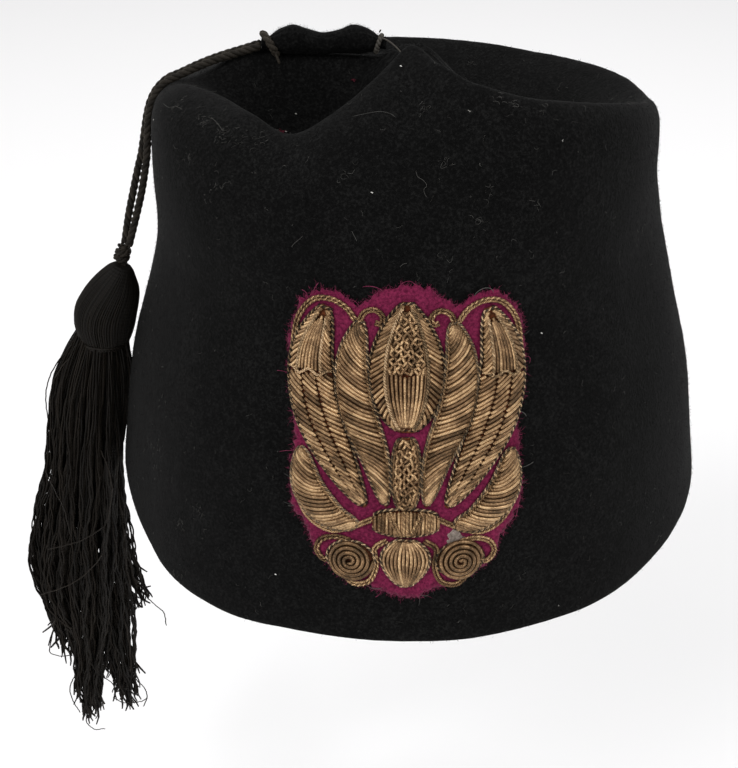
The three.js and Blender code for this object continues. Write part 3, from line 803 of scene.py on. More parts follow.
def patch_fibres():
    """Wool fibres that stand out of the cloth's cut edge and lie over its face."""
    at = rng.integers(0, PATCH_COLUMNS, FRINGE_HAIRS)
    ahead = outline[(at + 1) % PATCH_COLUMNS] - outline[at - 1]
    away_from = unit(np.stack([ahead[:, 1], -ahead[:, 0]], axis=1))
    away_from = away_from * np.sign(np.sum(away_from * outline[at], axis=1, keepdims=True))
    x, y = outline[at].T + rng.normal(0, 0.25, (2, FRINGE_HAIRS))
    roots, normal = on_wall(x, y, SEAM + rng.uniform(0.1, PATCH_CLOTH, FRINGE_HAIRS))
    further, _ = on_wall(x + away_from[:, 0], y + away_from[:, 1], SEAM + 0.5)
    lean = further - roots + rng.normal(0, 0.55, roots.shape)
    span = rng.gamma(2.2, 0.3, FRINGE_HAIRS)
    edge = fibres("patch_fringe", roots, normal * 0.35, lean, span, 0.085, wool_fibre)
    share = np.sqrt(rng.random(FACE_HAIRS)) * 0.99
    x, y = outline[rng.integers(0, PATCH_COLUMNS, FACE_HAIRS)].T * share
    roots, normal = on_wall(x, y, SEAM + PATCH_CLOTH - 0.1)
    lean = nap_lean(normal, 0.2, 1.0) * 1.6
    span = rng.uniform(0.4, 1.0, FACE_HAIRS)
    face = fibres("patch_nap", roots, normal, lean, span, 0.06, wool_fibre)
    return [place(edge, "patch_cloth"), place(face, "patch_cloth")]


def stray_threads():
    """Longer pulled threads along the patch's edge, pink and pale."""
    threads = Threads()
    for index in range(PULLED_THREADS):
        at = rng.integers(0, PATCH_COLUMNS)
        start = outline[at]
        heading = math.atan2(start[1], start[0]) + rng.normal(0, 0.9)
        span = rng.gamma(3, 0.8) + 0.8
        share = np.linspace(0, 1, 12)
        bend = rng.normal(0, 0.9)
        x = start[0] * 0.985 + span * share * np.cos(heading + bend * share)
        y = start[1] * 0.985 + span * share * np.sin(heading + bend * share)
        path, _ = on_wall(x, y, SEAM + 0.9 + 0.5 * np.sin(share * 3 + index))
        threads.add(path, 0.09, sides=4, slot=int(rng.random() < 0.3))
    return place(threads.mesh("patch_threads", [wool_fibre, lint]), "patch_cloth")


patch_trim = [*patch_fibres(), stray_threads()]


PAD_RISE = 2.4
PURL_RADIUS = 0.53
PURL_PITCH = 1.02
PAD_BASE = SEAM + PATCH_CLOTH + SEAM
UNDER_PURL = 1.05
# How far the purl reaches over the padding's edge
PURL_OVERHANG = 0.45
PATH_POINTS = 81
# The points along one length of purl, and how high its middle lies over the padding
PURL_STEPS = 16
PURL_LIFT = 0.5
# Short snippets of purl: how far apart, and how high
CHIP_SPACING = 1.1
CHIP_LIFT = 0.6
# The twisted cord round each pad
OUTLINE_PITCH = 1.7
OUTLINE_RADIUS = 0.5
OUTLINE_OUTSIDE = 0.55
# The pads of part.mjs: name, path, half width, widest place, bluntness, and how each is covered
PADS = [
    ("bud", [[0, 0.1], [0, 0.5], [0, 0.9]], 0.27, 0.42, 0.7, "bordered"),
    ("stem", [[0, -0.37], [0, -0.14], [0, 0.07]], 0.085, 0.5, 0.3, "knots"),
    ("collar", [[-0.27, -0.46], [0, -0.46], [0.27, -0.46]], 0.09, 0.5, 0.3, "bound"),
    ("drop_leaf", [[0, -0.57], [0, -0.73], [0, -0.9]], 0.17, 0.42, 0.7, "ribs"),
    (
        "inner_leaf", [[0.16, -0.36], [0.25, -0.06], [0.4, 0.24], [0.43, 0.5], [0.36, 0.77]],
        0.115, 0.55, 0.65, "slant",
    ),
    (
        "outer_leaf", [[0.33, -0.37], [0.53, -0.12], [0.73, 0.2], [0.77, 0.5], [0.64, 0.84]],
        0.175, 0.55, 0.65, "veined",
    ),
    ("low_leaf", [[0.38, -0.49], [0.6, -0.45], [0.8, -0.3], [0.87, -0.04]], 0.11, 0.5, 0.7, "slant"),
    ("rosette", [[0.45, -0.84], [0.45, -0.72], [0.45, -0.6]], 0.17, 0.5, 0.5, "spiral"),
]


def couched(threads, points, normals, radius, pitch, slot=0):
    """A twisted pair of strands along points, as a couched metal cord."""
    strands = twist(points, normals, 2, radius * 0.5, pitch)
    threads.add(strands, radius * 0.56, ref=normals, sides=5, slot=slot)


class Pad:
    """One raised pad of the ornament. A place on it is t, the share along it, and s, from edge to edge."""

    def __init__(self, path, wide, widest, blunt, side):
        corners = np.array(path) * [side * PATCH_HALF_WIDTH, PATCH_HALF_HEIGHT]
        self.path = even(catmull(corners), PATH_POINTS)
        self.tangent = unit(np.gradient(self.path, axis=0))
        self.length = lengths(self.path)[-1]
        self.half = wide * PATCH_HALF_WIDTH + PURL_OVERHANG
        self.bend = math.log(0.5) / math.log(widest)
        self.blunt = blunt
        self.side = side

    def swell(self, t):
        return np.sin(math.pi * np.clip(t, 0.02, 0.98) ** self.bend) ** self.blunt

    def flat(self, t, s):
        """The x and y of a place of the pad, in the patch's own plane."""
        stations = np.linspace(0, 1, PATH_POINTS)
        x, y = (np.interp(t, stations, self.path[:, i]) for i in (0, 1))
        ahead_x, ahead_y = (np.interp(t, stations, self.tangent[:, i]) for i in (0, 1))
        shift = s * self.swell(t) * self.half
        return x + ahead_y * shift, y - ahead_x * shift

    def at(self, t, s, lift):
        """A point on the pad's padding, lifted off it, and the wall's normal."""
        t, s = np.broadcast_arrays(np.asarray(t, float), np.asarray(s, float))
        dome = 0.22 + 0.78 * np.clip(1 - np.abs(s) ** 3, 0, 1) ** 0.75
        off = PAD_BASE - 0.25 + (PAD_RISE - UNDER_PURL + 0.25) * dome * np.sqrt(self.swell(t)) + lift
        return on_wall(*self.flat(t, s), off)

    def rows(self, threads, s_from, s_to, slant, t_from=0.02, t_to=0.985):
        """Lengths of purl side by side from edge to edge. Each leans on along the pad by slant, in mm."""
        reach = abs(s_to - s_from) * self.half
        steepness = math.atan2(abs(slant), reach)
        spacing = PURL_PITCH / max(math.cos(steepness), 0.35)
        count = max(int((t_to - t_from) * self.length / spacing), 2)
        share = np.linspace(0, 1, PURL_STEPS)
        s = s_from + (s_to - s_from) * share
        made = []
        for i in range(-6, count + 7):
            t = t_from + (i + 0.5) * spacing / self.length + slant * share / self.length
            keep = (t > t_from) & (t < t_to)
            if keep.sum() < 4:
                continue
            fine = np.linspace(share[keep][0], share[keep][-1], PURL_STEPS)
            points, normals = self.at(np.interp(fine, share, t), np.interp(fine, share, s), PURL_LIFT)
            made.append((points + rng.normal(0, 0.05, 3), normals))
        paths, normals = map(np.stack, zip(*made))
        threads.add(paths, PURL_RADIUS, ref=normals, sides=7)

    def rib(self, threads, s, t_from, t_to, radius, lift, steps=60, twisted=False, tone=None, slot=0):
        """One purl, or a twisted pair of strands, along the pad at s."""
        t = np.linspace(t_from, t_to, steps)
        points, normals = self.at(t, np.full(steps, s), lift)
        if twisted:
            couched(threads, points, normals, radius, OUTLINE_PITCH, slot)
        else:
            threads.add(points, radius, ref=normals, sides=7, tone=tone, slot=slot)

    def knots(self, threads, s_reach, t_from, t_to):
        """Short snippets of purl, each turned against its neighbours, over a layer of ribs in a dark tone
        that is painted shade in the gaps between snippets.
        """
        for s in np.linspace(-s_reach, s_reach, max(int(2 * s_reach * self.half / 0.95), 3)):
            # The ribs beneath take a dark tone: painted shade where they show between the snippets.
            self.rib(threads, s, t_from, t_to, 0.5, 0.25, steps=40, tone=0.1)
        rows = max(int((t_to - t_from) * self.length / CHIP_SPACING), 2)
        for row in range(rows):
            t_row = t_from + (row + 0.5) / rows * (t_to - t_from)
            width = 2 * s_reach * self.half * float(self.swell(t_row))
            columns = max(round(width / CHIP_SPACING), 1)
            for column in range(columns):
                s = ((column + 0.5) / columns * 2 - 1) * s_reach * 0.97 + rng.normal(0, 0.02)
                t = t_row + rng.normal(0, 0.16) / self.length
                heading = (0.62 if (row + column) % 2 else -0.62) + rng.normal(0, 0.28)
                half = rng.uniform(0.75, 1.05)
                share = np.linspace(-1, 1, 7)
                local = max(self.half * float(self.swell(t)), 1.0)
                points, normals = self.at(
                    np.clip(t + share * half * math.cos(heading) / self.length, 0.01, 0.99),
                    np.clip(s + share * half * math.sin(heading) / local, -1.02, 1.02),
                    CHIP_LIFT + 0.4 * (1 - share**2),
                )
                threads.add(points, 0.42, ref=normals, sides=6)

    def edging(self, threads):
        """A twisted cord couched round the pad's edge."""
        steps = max(int(self.length / 0.26), 30)
        t = np.linspace(0.015, 0.99, steps)
        reach = 1 + OUTLINE_OUTSIDE / np.maximum(self.half * self.swell(t), 1.2)
        both_t = np.concatenate([t, t[::-1][1:-1]])
        both_s = np.concatenate([reach, -reach[::-1][1:-1]])
        edge = np.stack(self.flat(both_t, both_s), axis=1)
        edge = even(np.vstack([edge, edge[:1]]), 2 * steps)[:-1]
        points, normals = on_wall(edge[:, 0], edge[:, 1], PAD_BASE + 0.25)
        total = lengths(np.vstack([points, points[:1]]))[-1]
        pitch = total / max(round(total / OUTLINE_PITCH), 1)
        strands = twist(points, normals, 2, OUTLINE_RADIUS * 0.5, pitch)
        threads.add(strands[:1], OUTLINE_RADIUS * 0.62, ref=normals, sides=5, closed=True, slot=1)
        threads.add(strands[1:], OUTLINE_RADIUS * 0.5, ref=normals, sides=5, closed=True, slot=2)

    def padding(self):
        """The firm padding under the purl, as rows of points from the pad's start to its end."""
        t = np.linspace(0.0, 1.0, 26)[:, None]
        s = np.linspace(-1, 1, 15)[None]
        top, _ = self.at(t, s, -0.1)
        low, _ = on_wall(*self.flat(t, s), SEAM + PATCH_CLOTH - 0.1)
        return np.concatenate([top, low[:, ::-1]], axis=1)


def cover(pad, style, threads):
    """Lays the purl of one pad in its own manner."""
    if style == "bordered":
        for side in (-1, 1):
            pad.rows(threads, 0.6 * side, side, -3.0)
        for s in np.linspace(-0.52, 0.52, 10):
            pad.rib(threads, s, 0.04, 0.5 - 0.08 * math.cos(s * 3), 0.47, 0.4)
        pad.knots(threads, 0.52, 0.44, 0.93)
        for s in (-0.59, 0.59):
            pad.rib(threads, s, 0.03, 0.96, 0.5, 0.85, steps=170, twisted=True, slot=2)
    elif style == "knots":
        pad.knots(threads, 1.0, 0.02, 0.98)
    elif style == "bound":
        pad.rows(threads, -1.0, 1.0, 0.0)
        for t, lean in ((0.14, 0.0), (0.34, 0.09), (0.5, 0.0), (0.66, -0.09), (0.86, 0.0)):
            for beside in (-0.024, 0.024):
                share = np.linspace(-1, 1, 60)
                points, normals = pad.at(t + beside + lean * share, share * 1.04, 1.05 - 0.4 * share**2)
                couched(threads, points, normals, 0.46, 1.5)
    elif style == "ribs":
        for s in np.linspace(-0.95, 0.95, 12):
            pad.rib(threads, s, 0.03, 0.985 - 0.1 * abs(s), 0.5, 0.42)
    elif style == "slant":
        pad.rows(threads, -0.97, 0.97, 6.2 * pad.side)
        for s in (0.98, -0.98):
            pad.rib(threads, s, 0.02, 0.98, 0.42, 0.3, steps=200, twisted=True)
    elif style == "veined":
        for low, high in ((-1.0, -0.37), (-0.31, 0.31), (0.37, 1.0)):
            pad.rows(threads, low, high, 3.6 * pad.side, t_to=0.66)
        for side in (-1, 1):
            pad.rows(threads, 0.58 * side, side, -2.6, t_from=0.67)
        for s in np.linspace(-0.5, 0.5, 7):
            pad.rib(threads, s, 0.67, 0.95 - 0.1 * abs(s), 0.48, 0.42)
        for s in (0.56, -0.56):
            pad.rib(threads, s, 0.66, 0.95, 0.46, 0.8, steps=70, twisted=True, slot=2)
        share = np.linspace(-1, 1, 70)
        points, normals = pad.at(0.665 + 0.012 * np.cos(share * 7), share, 0.8 - 0.3 * share**2)
        couched(threads, points, normals, 0.46, 1.4, slot=2)
    elif style == "spiral":
        turns = np.linspace(0, 1, 200)
        reach = 1.0 - 0.93 * turns
        angle = math.tau * 4.4 * turns * pad.side
        x, y = pad.path[PATH_POINTS // 2]
        height = PAD_BASE + 0.4 + (PAD_RISE - 0.85) * np.sqrt(np.clip(1 - (reach * 0.96) ** 2.4, 0, 1))
        around = reach * pad.half * np.array([np.cos(angle), np.sin(angle)])
        points, normals = on_wall(x + around[0], y + around[1], height)
        threads.add(points, 0.62, ref=normals, sides=7)


# Tendrils of couched metal cord, as shares of the patch's half width and height. Each has a mirrored twin.
TENDRILS = [
    [[0.26, -0.44], [0.42, -0.5], [0.62, -0.545], [0.8, -0.48], [0.9, -0.34], [0.915, -0.2]],
    [[0.15, -0.58], [0.25, -0.64], [0.24, -0.76], [0.3, -0.87], [0.42, -0.895], [0.5, -0.85]],
    [[0.45, -0.6], [0.58, -0.585], [0.7, -0.62], [0.74, -0.69], [0.68, -0.75], [0.6, -0.74]],
    [[0.38, 0.74], [0.33, 0.82], [0.25, 0.84], [0.19, 0.8], [0.2, 0.75], [0.25, 0.76]],
    [[0.4, 0.76], [0.48, 0.84], [0.6, 0.885], [0.74, 0.87], [0.88, 0.74], [0.94, 0.5]],
]


def tendril_piece():
    threads = Threads()
    for corners in TENDRILS:
        for side in (1, -1):
            route = catmull(np.array(corners) * [side * PATCH_HALF_WIDTH, PATCH_HALF_HEIGHT])
            flat = even(route, max(int(lengths(route)[-1] / 0.32), 20))
            ahead = unit(np.gradient(flat, axis=0))
            for beside in (-0.42, 0.42):
                x, y = (flat + ahead[:, ::-1] * [beside, -beside]).T
                points, normals = on_wall(x, y, PAD_BASE + 0.2)
                couched(threads, points, normals, 0.44, 1.5)
    return place(threads.mesh("couched_tendrils", bullion), "metal_thread")


tendril_piece()

padding_rows = []
for pad_name, pad_path, pad_wide, pad_widest, pad_blunt, pad_style in PADS:
    sides = ((1, "_right"), (-1, "_left")) if pad_path[0][0] > 0 else ((1, ""),)
    for pad_side, ending in sides:
        this_pad = Pad(pad_path, pad_wide, pad_widest, pad_blunt, pad_side)
        metal = Threads()
        cover(this_pad, pad_style, metal)
        this_pad.edging(metal)
        purl = metal.mesh("purl_" + pad_name + ending, [bullion, pearl, pale_pearl])
        place(purl, "metal_thread", pad_name + ending)
        padding_rows.append(this_pad.padding())

padding_parts = [grid_object("padding_part", rows, padding_cloth) for rows in padding_rows]
with bpy.context.temp_override(
    active_object=padding_parts[0], selected_editable_objects=padding_parts, selected_objects=padding_parts
):
    bpy.ops.object.join()
padding = padding_parts[0]
padding.name = "embroidery_padding"
place(padding, "patch_cloth")


SEAT_HEIGHT = 131
ROLL_LENGTH = 36
ROLL_RADIUS = 3.9
ROLL_START = 6.5
ROLL_HUMP = 0.15
TIE_INSET = 0.06
# A tied loop is lower than it is deep, and hangs a little
TIE_FLAT = 0.8
TIE_SAG = 0.45


def roll_bend(t):
    return np.cos(4 * math.pi * (t - 0.25))


def roll_centre(t):
    lift = SEAT_HEIGHT + SEAM + ROLL_RADIUS * (1 + ROLL_HUMP)
    x = -ROLL_START - ROLL_LENGTH * t
    return np.stack([x, 0 * t, lift + roll_bend(t) * ROLL_HUMP * ROLL_RADIUS], axis=-1)


def roll_radius(t):
    taper = np.sqrt(np.maximum(0.35, 1 - (2 * t - 1) ** 6))
    pinch = sum(0.16 * np.exp(-(((t - at) / 0.035) ** 2)) for at in (TIE_INSET, 1 - TIE_INSET))
    return ROLL_RADIUS * taper * (1 + ROLL_HUMP * roll_bend(t)) * (1 - pinch)


def roll_piece():
    """A strip of felt rolled up: its outer flap ends in a low step along the front."""
    t = np.concatenate([[0.0, 0.0, 0.0], np.linspace(0, 1, 70), [1.0, 1.0, 1.0]])
    inward = np.concatenate([[0.12, 0.5, 0.85], np.ones(70), [0.85, 0.5, 0.12]])
    sink = np.concatenate([[1.6, 1.0, 0.3], np.zeros(70), [0.15, 0.35, 0.5]])
    angle = np.linspace(0, math.tau, 72, endpoint=False)
    flap = 1.0 - 0.16 * ((angle / math.tau + 0.62) % 1.0)
    wrinkle = 1 + 0.03 * np.sin(t[:, None] * 23 + angle * 2) + 0.02 * np.sin(t[:, None] * 41 - angle * 3)
    gathered = np.exp(-((t / 0.16) ** 2)) + np.exp(-(((1 - t) / 0.2) ** 2))
    wrinkle = wrinkle + 0.05 * gathered[:, None] * np.sin(angle * 8 + 1.5 * np.sin(angle * 3))
    radius = (roll_radius(t) * inward)[:, None] * flap * wrinkle
    centre = roll_centre(t)
    centre[:, 0] -= sink
    rows = centre[:, None] + np.stack([0 * radius, radius * np.cos(angle), radius * np.sin(angle)], axis=-1)
    return place(grid_object("felt_roll", rows, felt), "felt", "crown_roll")


roll = roll_piece()
roll_triangles, roll_normals = surface(roll)
from_axis = roll_triangles.mean(axis=1) - roll_centre(np.full(len(roll_triangles), 0.5))
if np.mean(np.einsum("ij,ij->i", from_axis * [0, 1, 1], roll_normals)) < 0:
    roll_normals = -roll_normals
    roll.data.flip_normals()
nap_piece("roll_nap", roll_triangles, roll_normals, ROLL_HAIRS, 0.2, 1.0, 1.3, 0.055)


def tie_piece(name, t, strand, reach, pitch, tone, slope, tails, material):
    """A loop of twisted thread round the roll, with its loose ends."""
    threads = Threads()
    angle = np.linspace(0, math.tau, 120, endpoint=False)
    t = np.array(t)
    ring = float(roll_radius(t)) + strand + reach - 0.1
    centre = roll_centre(t)
    lean = -slope * np.sin(angle + 0.5)
    loop = centre + np.stack([lean, ring * np.cos(angle), ring * TIE_FLAT * np.sin(angle) - TIE_SAG], axis=1)
    outward = unit(loop - centre)
    turns = max(round(math.tau * ring / pitch), 1)
    for start in (0, math.pi):
        phase = (angle * turns + start)[:, None]
        strands = loop + reach * (outward * np.cos(phase) + np.array([1.0, 0, 0]) * np.sin(phase))
        threads.add(strands, strand, ref=(1, 0, 0), sides=7, closed=True, tone=tone)
    for start, ahead, span in tails:
        share = np.linspace(0, 1, 14)[:, None]
        path = centre + np.array(start) + np.array(ahead) * span * share
        path = path + np.array([0, 0, -0.9]) * span * 0.4 * share**2
        threads.add(path, strand * 0.55, sides=5, tone=tone)
    return place(threads.mesh(name + "_thread", material), "thread", name)


tie_piece(
    "tie_cord", 1 - TIE_INSET, 0.7, 0.56, 4.1, 0.9, 1.8,
    [((1.4, -3.1, -2.0), (0.5, -0.5, -0.7), 3.0)], cord_thread,
)
tie_piece(
    "tie_centre", TIE_INSET, 0.42, 0.36, 2.6, 0.8, -0.8,
    [((0.9, -2.0, 1.8), (0.85, -0.75, -0.1), 6.5), ((0.2, -0.4, 2.9), (0.25, -0.3, 0.9), 1.6)], grey_thread,
)


TASSEL_Y = -7
HEAD_TOP = 68
HEAD_LENGTH = 26
HEAD_RADIUS = 10
SKIRT_LENGTH = 155
SKIRT_SPREAD = 9.2
KNOT_LENGTH = 5.6
# The tassel's axis, as (z, x): it hangs beside the flaring wall
AXIS = [
    [-113, -107], [-71.4, -108.3], [-31.6, -107], [2.8, -102.8], [26.4, -98], [37.2, -95.9],
    [53.5, -94.2], [62.6, -91.6], [68, -88.8], [77, -85.3],
]
# The head's half width and how far its middle lies towards the crown, as shares of HEAD_RADIUS
HEAD_PROFILE = [
    [0, 0.16, 0.14], [0.05, 0.32, 0.2], [0.16, 0.56, 0.23], [0.29, 0.75, 0.2], [0.45, 0.89, 0.11],
    [0.6, 0.96, 0.03], [0.73, 0.96, 0], [0.85, 0.9, 0], [0.95, 0.82, 0], [1, 0.78, 0],
]
HEAD_THREADS = 200
HEAD_STEPS = 24
HEAD_THREAD_RADIUS = 0.3
NECK_TURNS = 3.2
NECK_RADIUS = 7.5
KNOT_TURNS = 2.6
# Each lock from top to bottom: share of SKIRT_LENGTH, then as shares of SKIRT_SPREAD its middle's place to
# the right and to the back, and its half width
LOCKS = {
    "core": [
        [0, -0.15, 0, 0.68], [0.15, -0.05, 0, 0.76], [0.3, 0.03, 0.05, 0.82],
        [0.45, -0.02, 0.05, 0.86], [0.61, -0.13, 0, 0.74], [0.75, -0.22, 0, 0.4],
    ],
    "left": [
        [-0.03, -0.5, 0.1, 0.4], [0.1, -1.2, 0.1, 0.6], [0.21, -1.2, 0.1, 0.62],
        [0.3, -1.08, 0.1, 0.62], [0.4, -1.34, 0.1, 0.72], [0.48, -1.52, 0.1, 0.76],
        [0.56, -1.62, 0.1, 0.76], [0.65, -1.5, 0.1, 0.68], [0.74, -1.32, 0.1, 0.48],
        [0.82, -1.24, 0.1, 0.26],
    ],
    "outer": [
        [-0.03, -0.4, -0.2, 0.42], [0.11, -0.84, -0.35, 0.72], [0.23, -0.7, -0.4, 0.8],
        [0.35, -0.64, -0.4, 0.86], [0.48, -0.83, -0.4, 0.88], [0.62, -1, -0.35, 0.84],
        [0.74, -0.88, -0.3, 0.6], [0.83, -0.81, -0.3, 0.32],
    ],
    "front": [
        [-0.03, 0, -0.35, 0.48], [0.13, 0.02, -0.5, 0.78], [0.27, 0.15, -0.55, 0.88],
        [0.43, 0.13, -0.5, 0.92], [0.59, 0.05, -0.5, 0.92], [0.76, -0.22, -0.4, 0.76],
        [0.92, -0.58, -0.3, 0.55], [1.02, -0.74, -0.3, 0.3],
    ],
    "right": [
        [-0.03, 0.38, -0.1, 0.42], [0.07, 0.6, -0.05, 0.5], [0.18, 0.66, 0, 0.5], [0.29, 0.7, 0, 0.52],
        [0.45, 0.77, 0, 0.58], [0.61, 0.88, 0, 0.66], [0.78, 0.84, 0, 0.66], [0.9, 0.8, 0, 0.64],
        [0.99, 0.86, 0, 0.44],
    ],
    "short": [
        [0, 0.12, 0.4, 0.3], [0.21, 0.42, 0.45, 0.44], [0.36, 0.68, 0.5, 0.5], [0.5, 1, 0.5, 0.52],
        [0.61, 1.28, 0.5, 0.54], [0.68, 1.57, 0.5, 0.5], [0.74, 1.86, 0.5, 0.34],
    ],
    "back": [
        [0, -0.1, 0.35, 0.5], [0.16, -0.1, 0.5, 0.78], [0.31, -0.03, 0.6, 0.86],
        [0.47, -0.02, 0.6, 0.92], [0.64, -0.18, 0.6, 0.88], [0.81, -0.18, 0.5, 0.66],
        [0.93, -0.1, 0.4, 0.4],
    ],
}
axis_curve = catmull([[x, TASSEL_Y, z] for z, x in AXIS], 40)


def axis_at(z):
    z = np.asarray(z, float)
    x = np.interp(z, axis_curve[:, 2], axis_curve[:, 0])
    return np.stack([x, np.full(z.shape, float(TASSEL_Y)), z], axis=-1)


def axis_sides(z):
    """Two directions across the tassel's axis: outward to the left, and to the back."""
    ahead = unit(axis_at(z - 1.0) - axis_at(z + 1.0))
    back = np.broadcast_to(np.array([0, 1.0, 0]), ahead.shape)
    return unit(np.cross(back, ahead)), back


def head_shape(share):
    """The head's half width and its middle's shift, in millimetres, at a share of the way down it."""
    smooth = catmull(HEAD_PROFILE)
    return (np.interp(share, smooth[:, 0], smooth[:, i]) * HEAD_RADIUS for i in (1, 2))


def round_axis(z, reach, angle, shift=0.0):
    """Places round the tassel's axis at some heights: reach from it, at angles from its outward side."""
    right, back = axis_sides(z)
    centre = axis_at(z) + np.asarray(shift)[..., None] * [1, 0, 0]
    reach, angle = np.asarray(reach)[..., None], np.asarray(angle)[..., None]
    return centre + reach * (right * np.cos(angle) + back * np.sin(angle)), centre


def head_piece():
    """The tassel's head: threads turned down over a core and bound at the neck."""
    threads = Threads()
    share = np.linspace(0.0, 1.0, HEAD_STEPS) ** 1.15
    z = HEAD_TOP - HEAD_LENGTH * share
    radius, shift = head_shape(share)
    radius = radius - HEAD_THREAD_RADIUS
    each = (HEAD_THREADS, 1)
    angle = np.linspace(0, math.tau, HEAD_THREADS, endpoint=False)[:, None] + rng.normal(0, 0.02, each)
    drift = 0.16 * np.sin(share * 2.6) + rng.normal(0, 0.03, each) * share
    paths, centre = round_axis(z, radius + rng.normal(0, 0.1, each), angle + drift, shift)
    # The head's threads take only the darker tones of the tassel thread: painted shade that offsets the top
    # lamp's light on the head.
    tone = rng.uniform(0, 0.32, HEAD_THREADS)
    threads.add(paths, HEAD_THREAD_RADIUS, sides=4, ref=unit(paths - centre), tone=tone)
    core_angle = np.linspace(0, math.tau, 40, endpoint=False)
    inner, _ = round_axis(z[:, None], (radius - 0.25)[:, None], core_angle, shift[:, None])
    core = grid_object("tassel_head_core", inner, tassel_thread)
    wind = np.linspace(0, 1, 150)
    spin = math.tau * NECK_TURNS * wind
    neck_z = HEAD_TOP - HEAD_LENGTH + 1.6 - 2.6 * wind
    winding, _ = round_axis(neck_z, NECK_RADIUS + 0.3 * np.sin(spin * 0.7), spin)
    threads.add(twist(winding, (0, 0, 1), 2, 0.26, 1.9), 0.32, ref=(0, 0, 1), sides=5)
    piece = threads.mesh("tassel_head", tassel_thread)
    return [place(piece, "thread", "tassel"), place(core, "thread")]


head_piece()

THREAD_RADIUS = 0.4
SKIRT_STEPS = 66
# Threads that hang together in one strand, how far apart, and how long one turn of them is
STRAND_THREADS = 3
STRAND_REACH = 0.5
STRAND_COIL = (34, 60)
# The turn that spaces strands evenly over a lock
GOLDEN_ANGLE = 2.39996
# Each strand's long wave and each thread's fine one: how far they reach, and how long one wave is
SWAY = 0.75
SWAY_LENGTH = (34, 52)
CRINKLE = 0.24
CRINKLE_LENGTH = (7, 13)
# The share of a lock's length that frays, and the share of strands with hooked ends
FRAY_SHARE = 0.07
HOOKED_SHARE = 0.2
LOCK_THREADS = {"core": 30, "left": 96, "outer": 96, "front": 105, "right": 84, "short": 54, "back": 54}


def lock_piece(name, rows, many):
    """One lock of the skirt: threads that sweep down in long shared waves and fray at their ends."""
    rows = np.array(rows, float)
    path = axis_at(HEAD_TOP - HEAD_LENGTH - rows[:, 0] * SKIRT_LENGTH)
    path[:, :2] += rows[:, 1:3] * SKIRT_SPREAD
    stations = np.linspace(0, 1, 200)
    route = even(catmull(np.column_stack([path, rows[:, 3] * SKIRT_SPREAD])), 200)
    middle, radii = route[:, :3], route[:, 3]
    length = lengths(middle)[-1]
    _, side, up = frames(middle, (0, 1, 0))
    strands = many // STRAND_THREADS
    spread = np.sqrt((np.arange(strands) + 0.5) / strands)
    bearing = np.arange(strands) * GOLDEN_ANGLE + rng.normal(0, 0.25, strands)
    paths = []
    for strand in range(strands):
        strand_end = 1 - 0.13 * rng.random() ** 1.6
        wander, spin = rng.uniform(-0.7, 0.7), rng.uniform(0, 6.3)
        coil, long_wave = rng.uniform(*STRAND_COIL), rng.uniform(*SWAY_LENGTH)
        long_phase = 1.1 * bearing[strand] + rng.uniform(-0.5, 0.5)
        hooked = rng.random() < HOOKED_SHARE
        for thread in range(STRAND_THREADS):
            end = strand_end - 0.05 * rng.random()
            t = np.linspace(0, end, SKIRT_STEPS)
            along = t * length
            centre, across, over = (
                np.stack([np.interp(t, stations, part[:, k]) for k in range(3)], axis=1)
                for part in (middle, side, up)
            )
            loose = np.clip(t * 2.6, 0.05, 1)
            reach = (np.interp(t, stations, radii) - 0.7) * spread[strand]
            turned = bearing[strand] + wander * np.sin(t * 3 + spin) * t
            twined = math.tau * (along / coil + thread / STRAND_THREADS) + spin
            sway = SWAY * loose * np.sin(math.tau * along / long_wave + long_phase)
            crinkle = math.tau * along / rng.uniform(*CRINKLE_LENGTH) + rng.uniform(0, 6.3)
            fine = CRINKLE * loose * (0.6 + 0.8 * t)
            frayed = np.clip((t - end + FRAY_SHARE) / FRAY_SHARE, 0, 1) ** 2
            swing = frayed[:, None] * rng.normal(0, 2.6 if hooked else 1.5, 2)
            u = reach * np.cos(turned) + STRAND_REACH * np.cos(twined) + sway + fine * np.sin(crinkle)
            v = reach * np.sin(turned) + STRAND_REACH * np.sin(twined) + fine * np.cos(crinkle * 0.83)
            u, v = u + swing[:, 0], v + swing[:, 1]
            points = centre + across * u[:, None] + over * v[:, None]
            points[:, 2] += frayed * rng.uniform(0, 5.0 if hooked else 1.0)
            paths.append(points)
    threads = Threads()
    thickness = rng.uniform(0.75, 1.15, (len(paths), 1)) * THREAD_RADIUS
    threads.add(paths, thickness, sides=3, ends=0.7)
    return place(threads.mesh("tassel_lock_" + name, tassel_thread), "thread")


for lock_name, lock_rows in LOCKS.items():
    lock_piece(lock_name, lock_rows, LOCK_THREADS[lock_name])


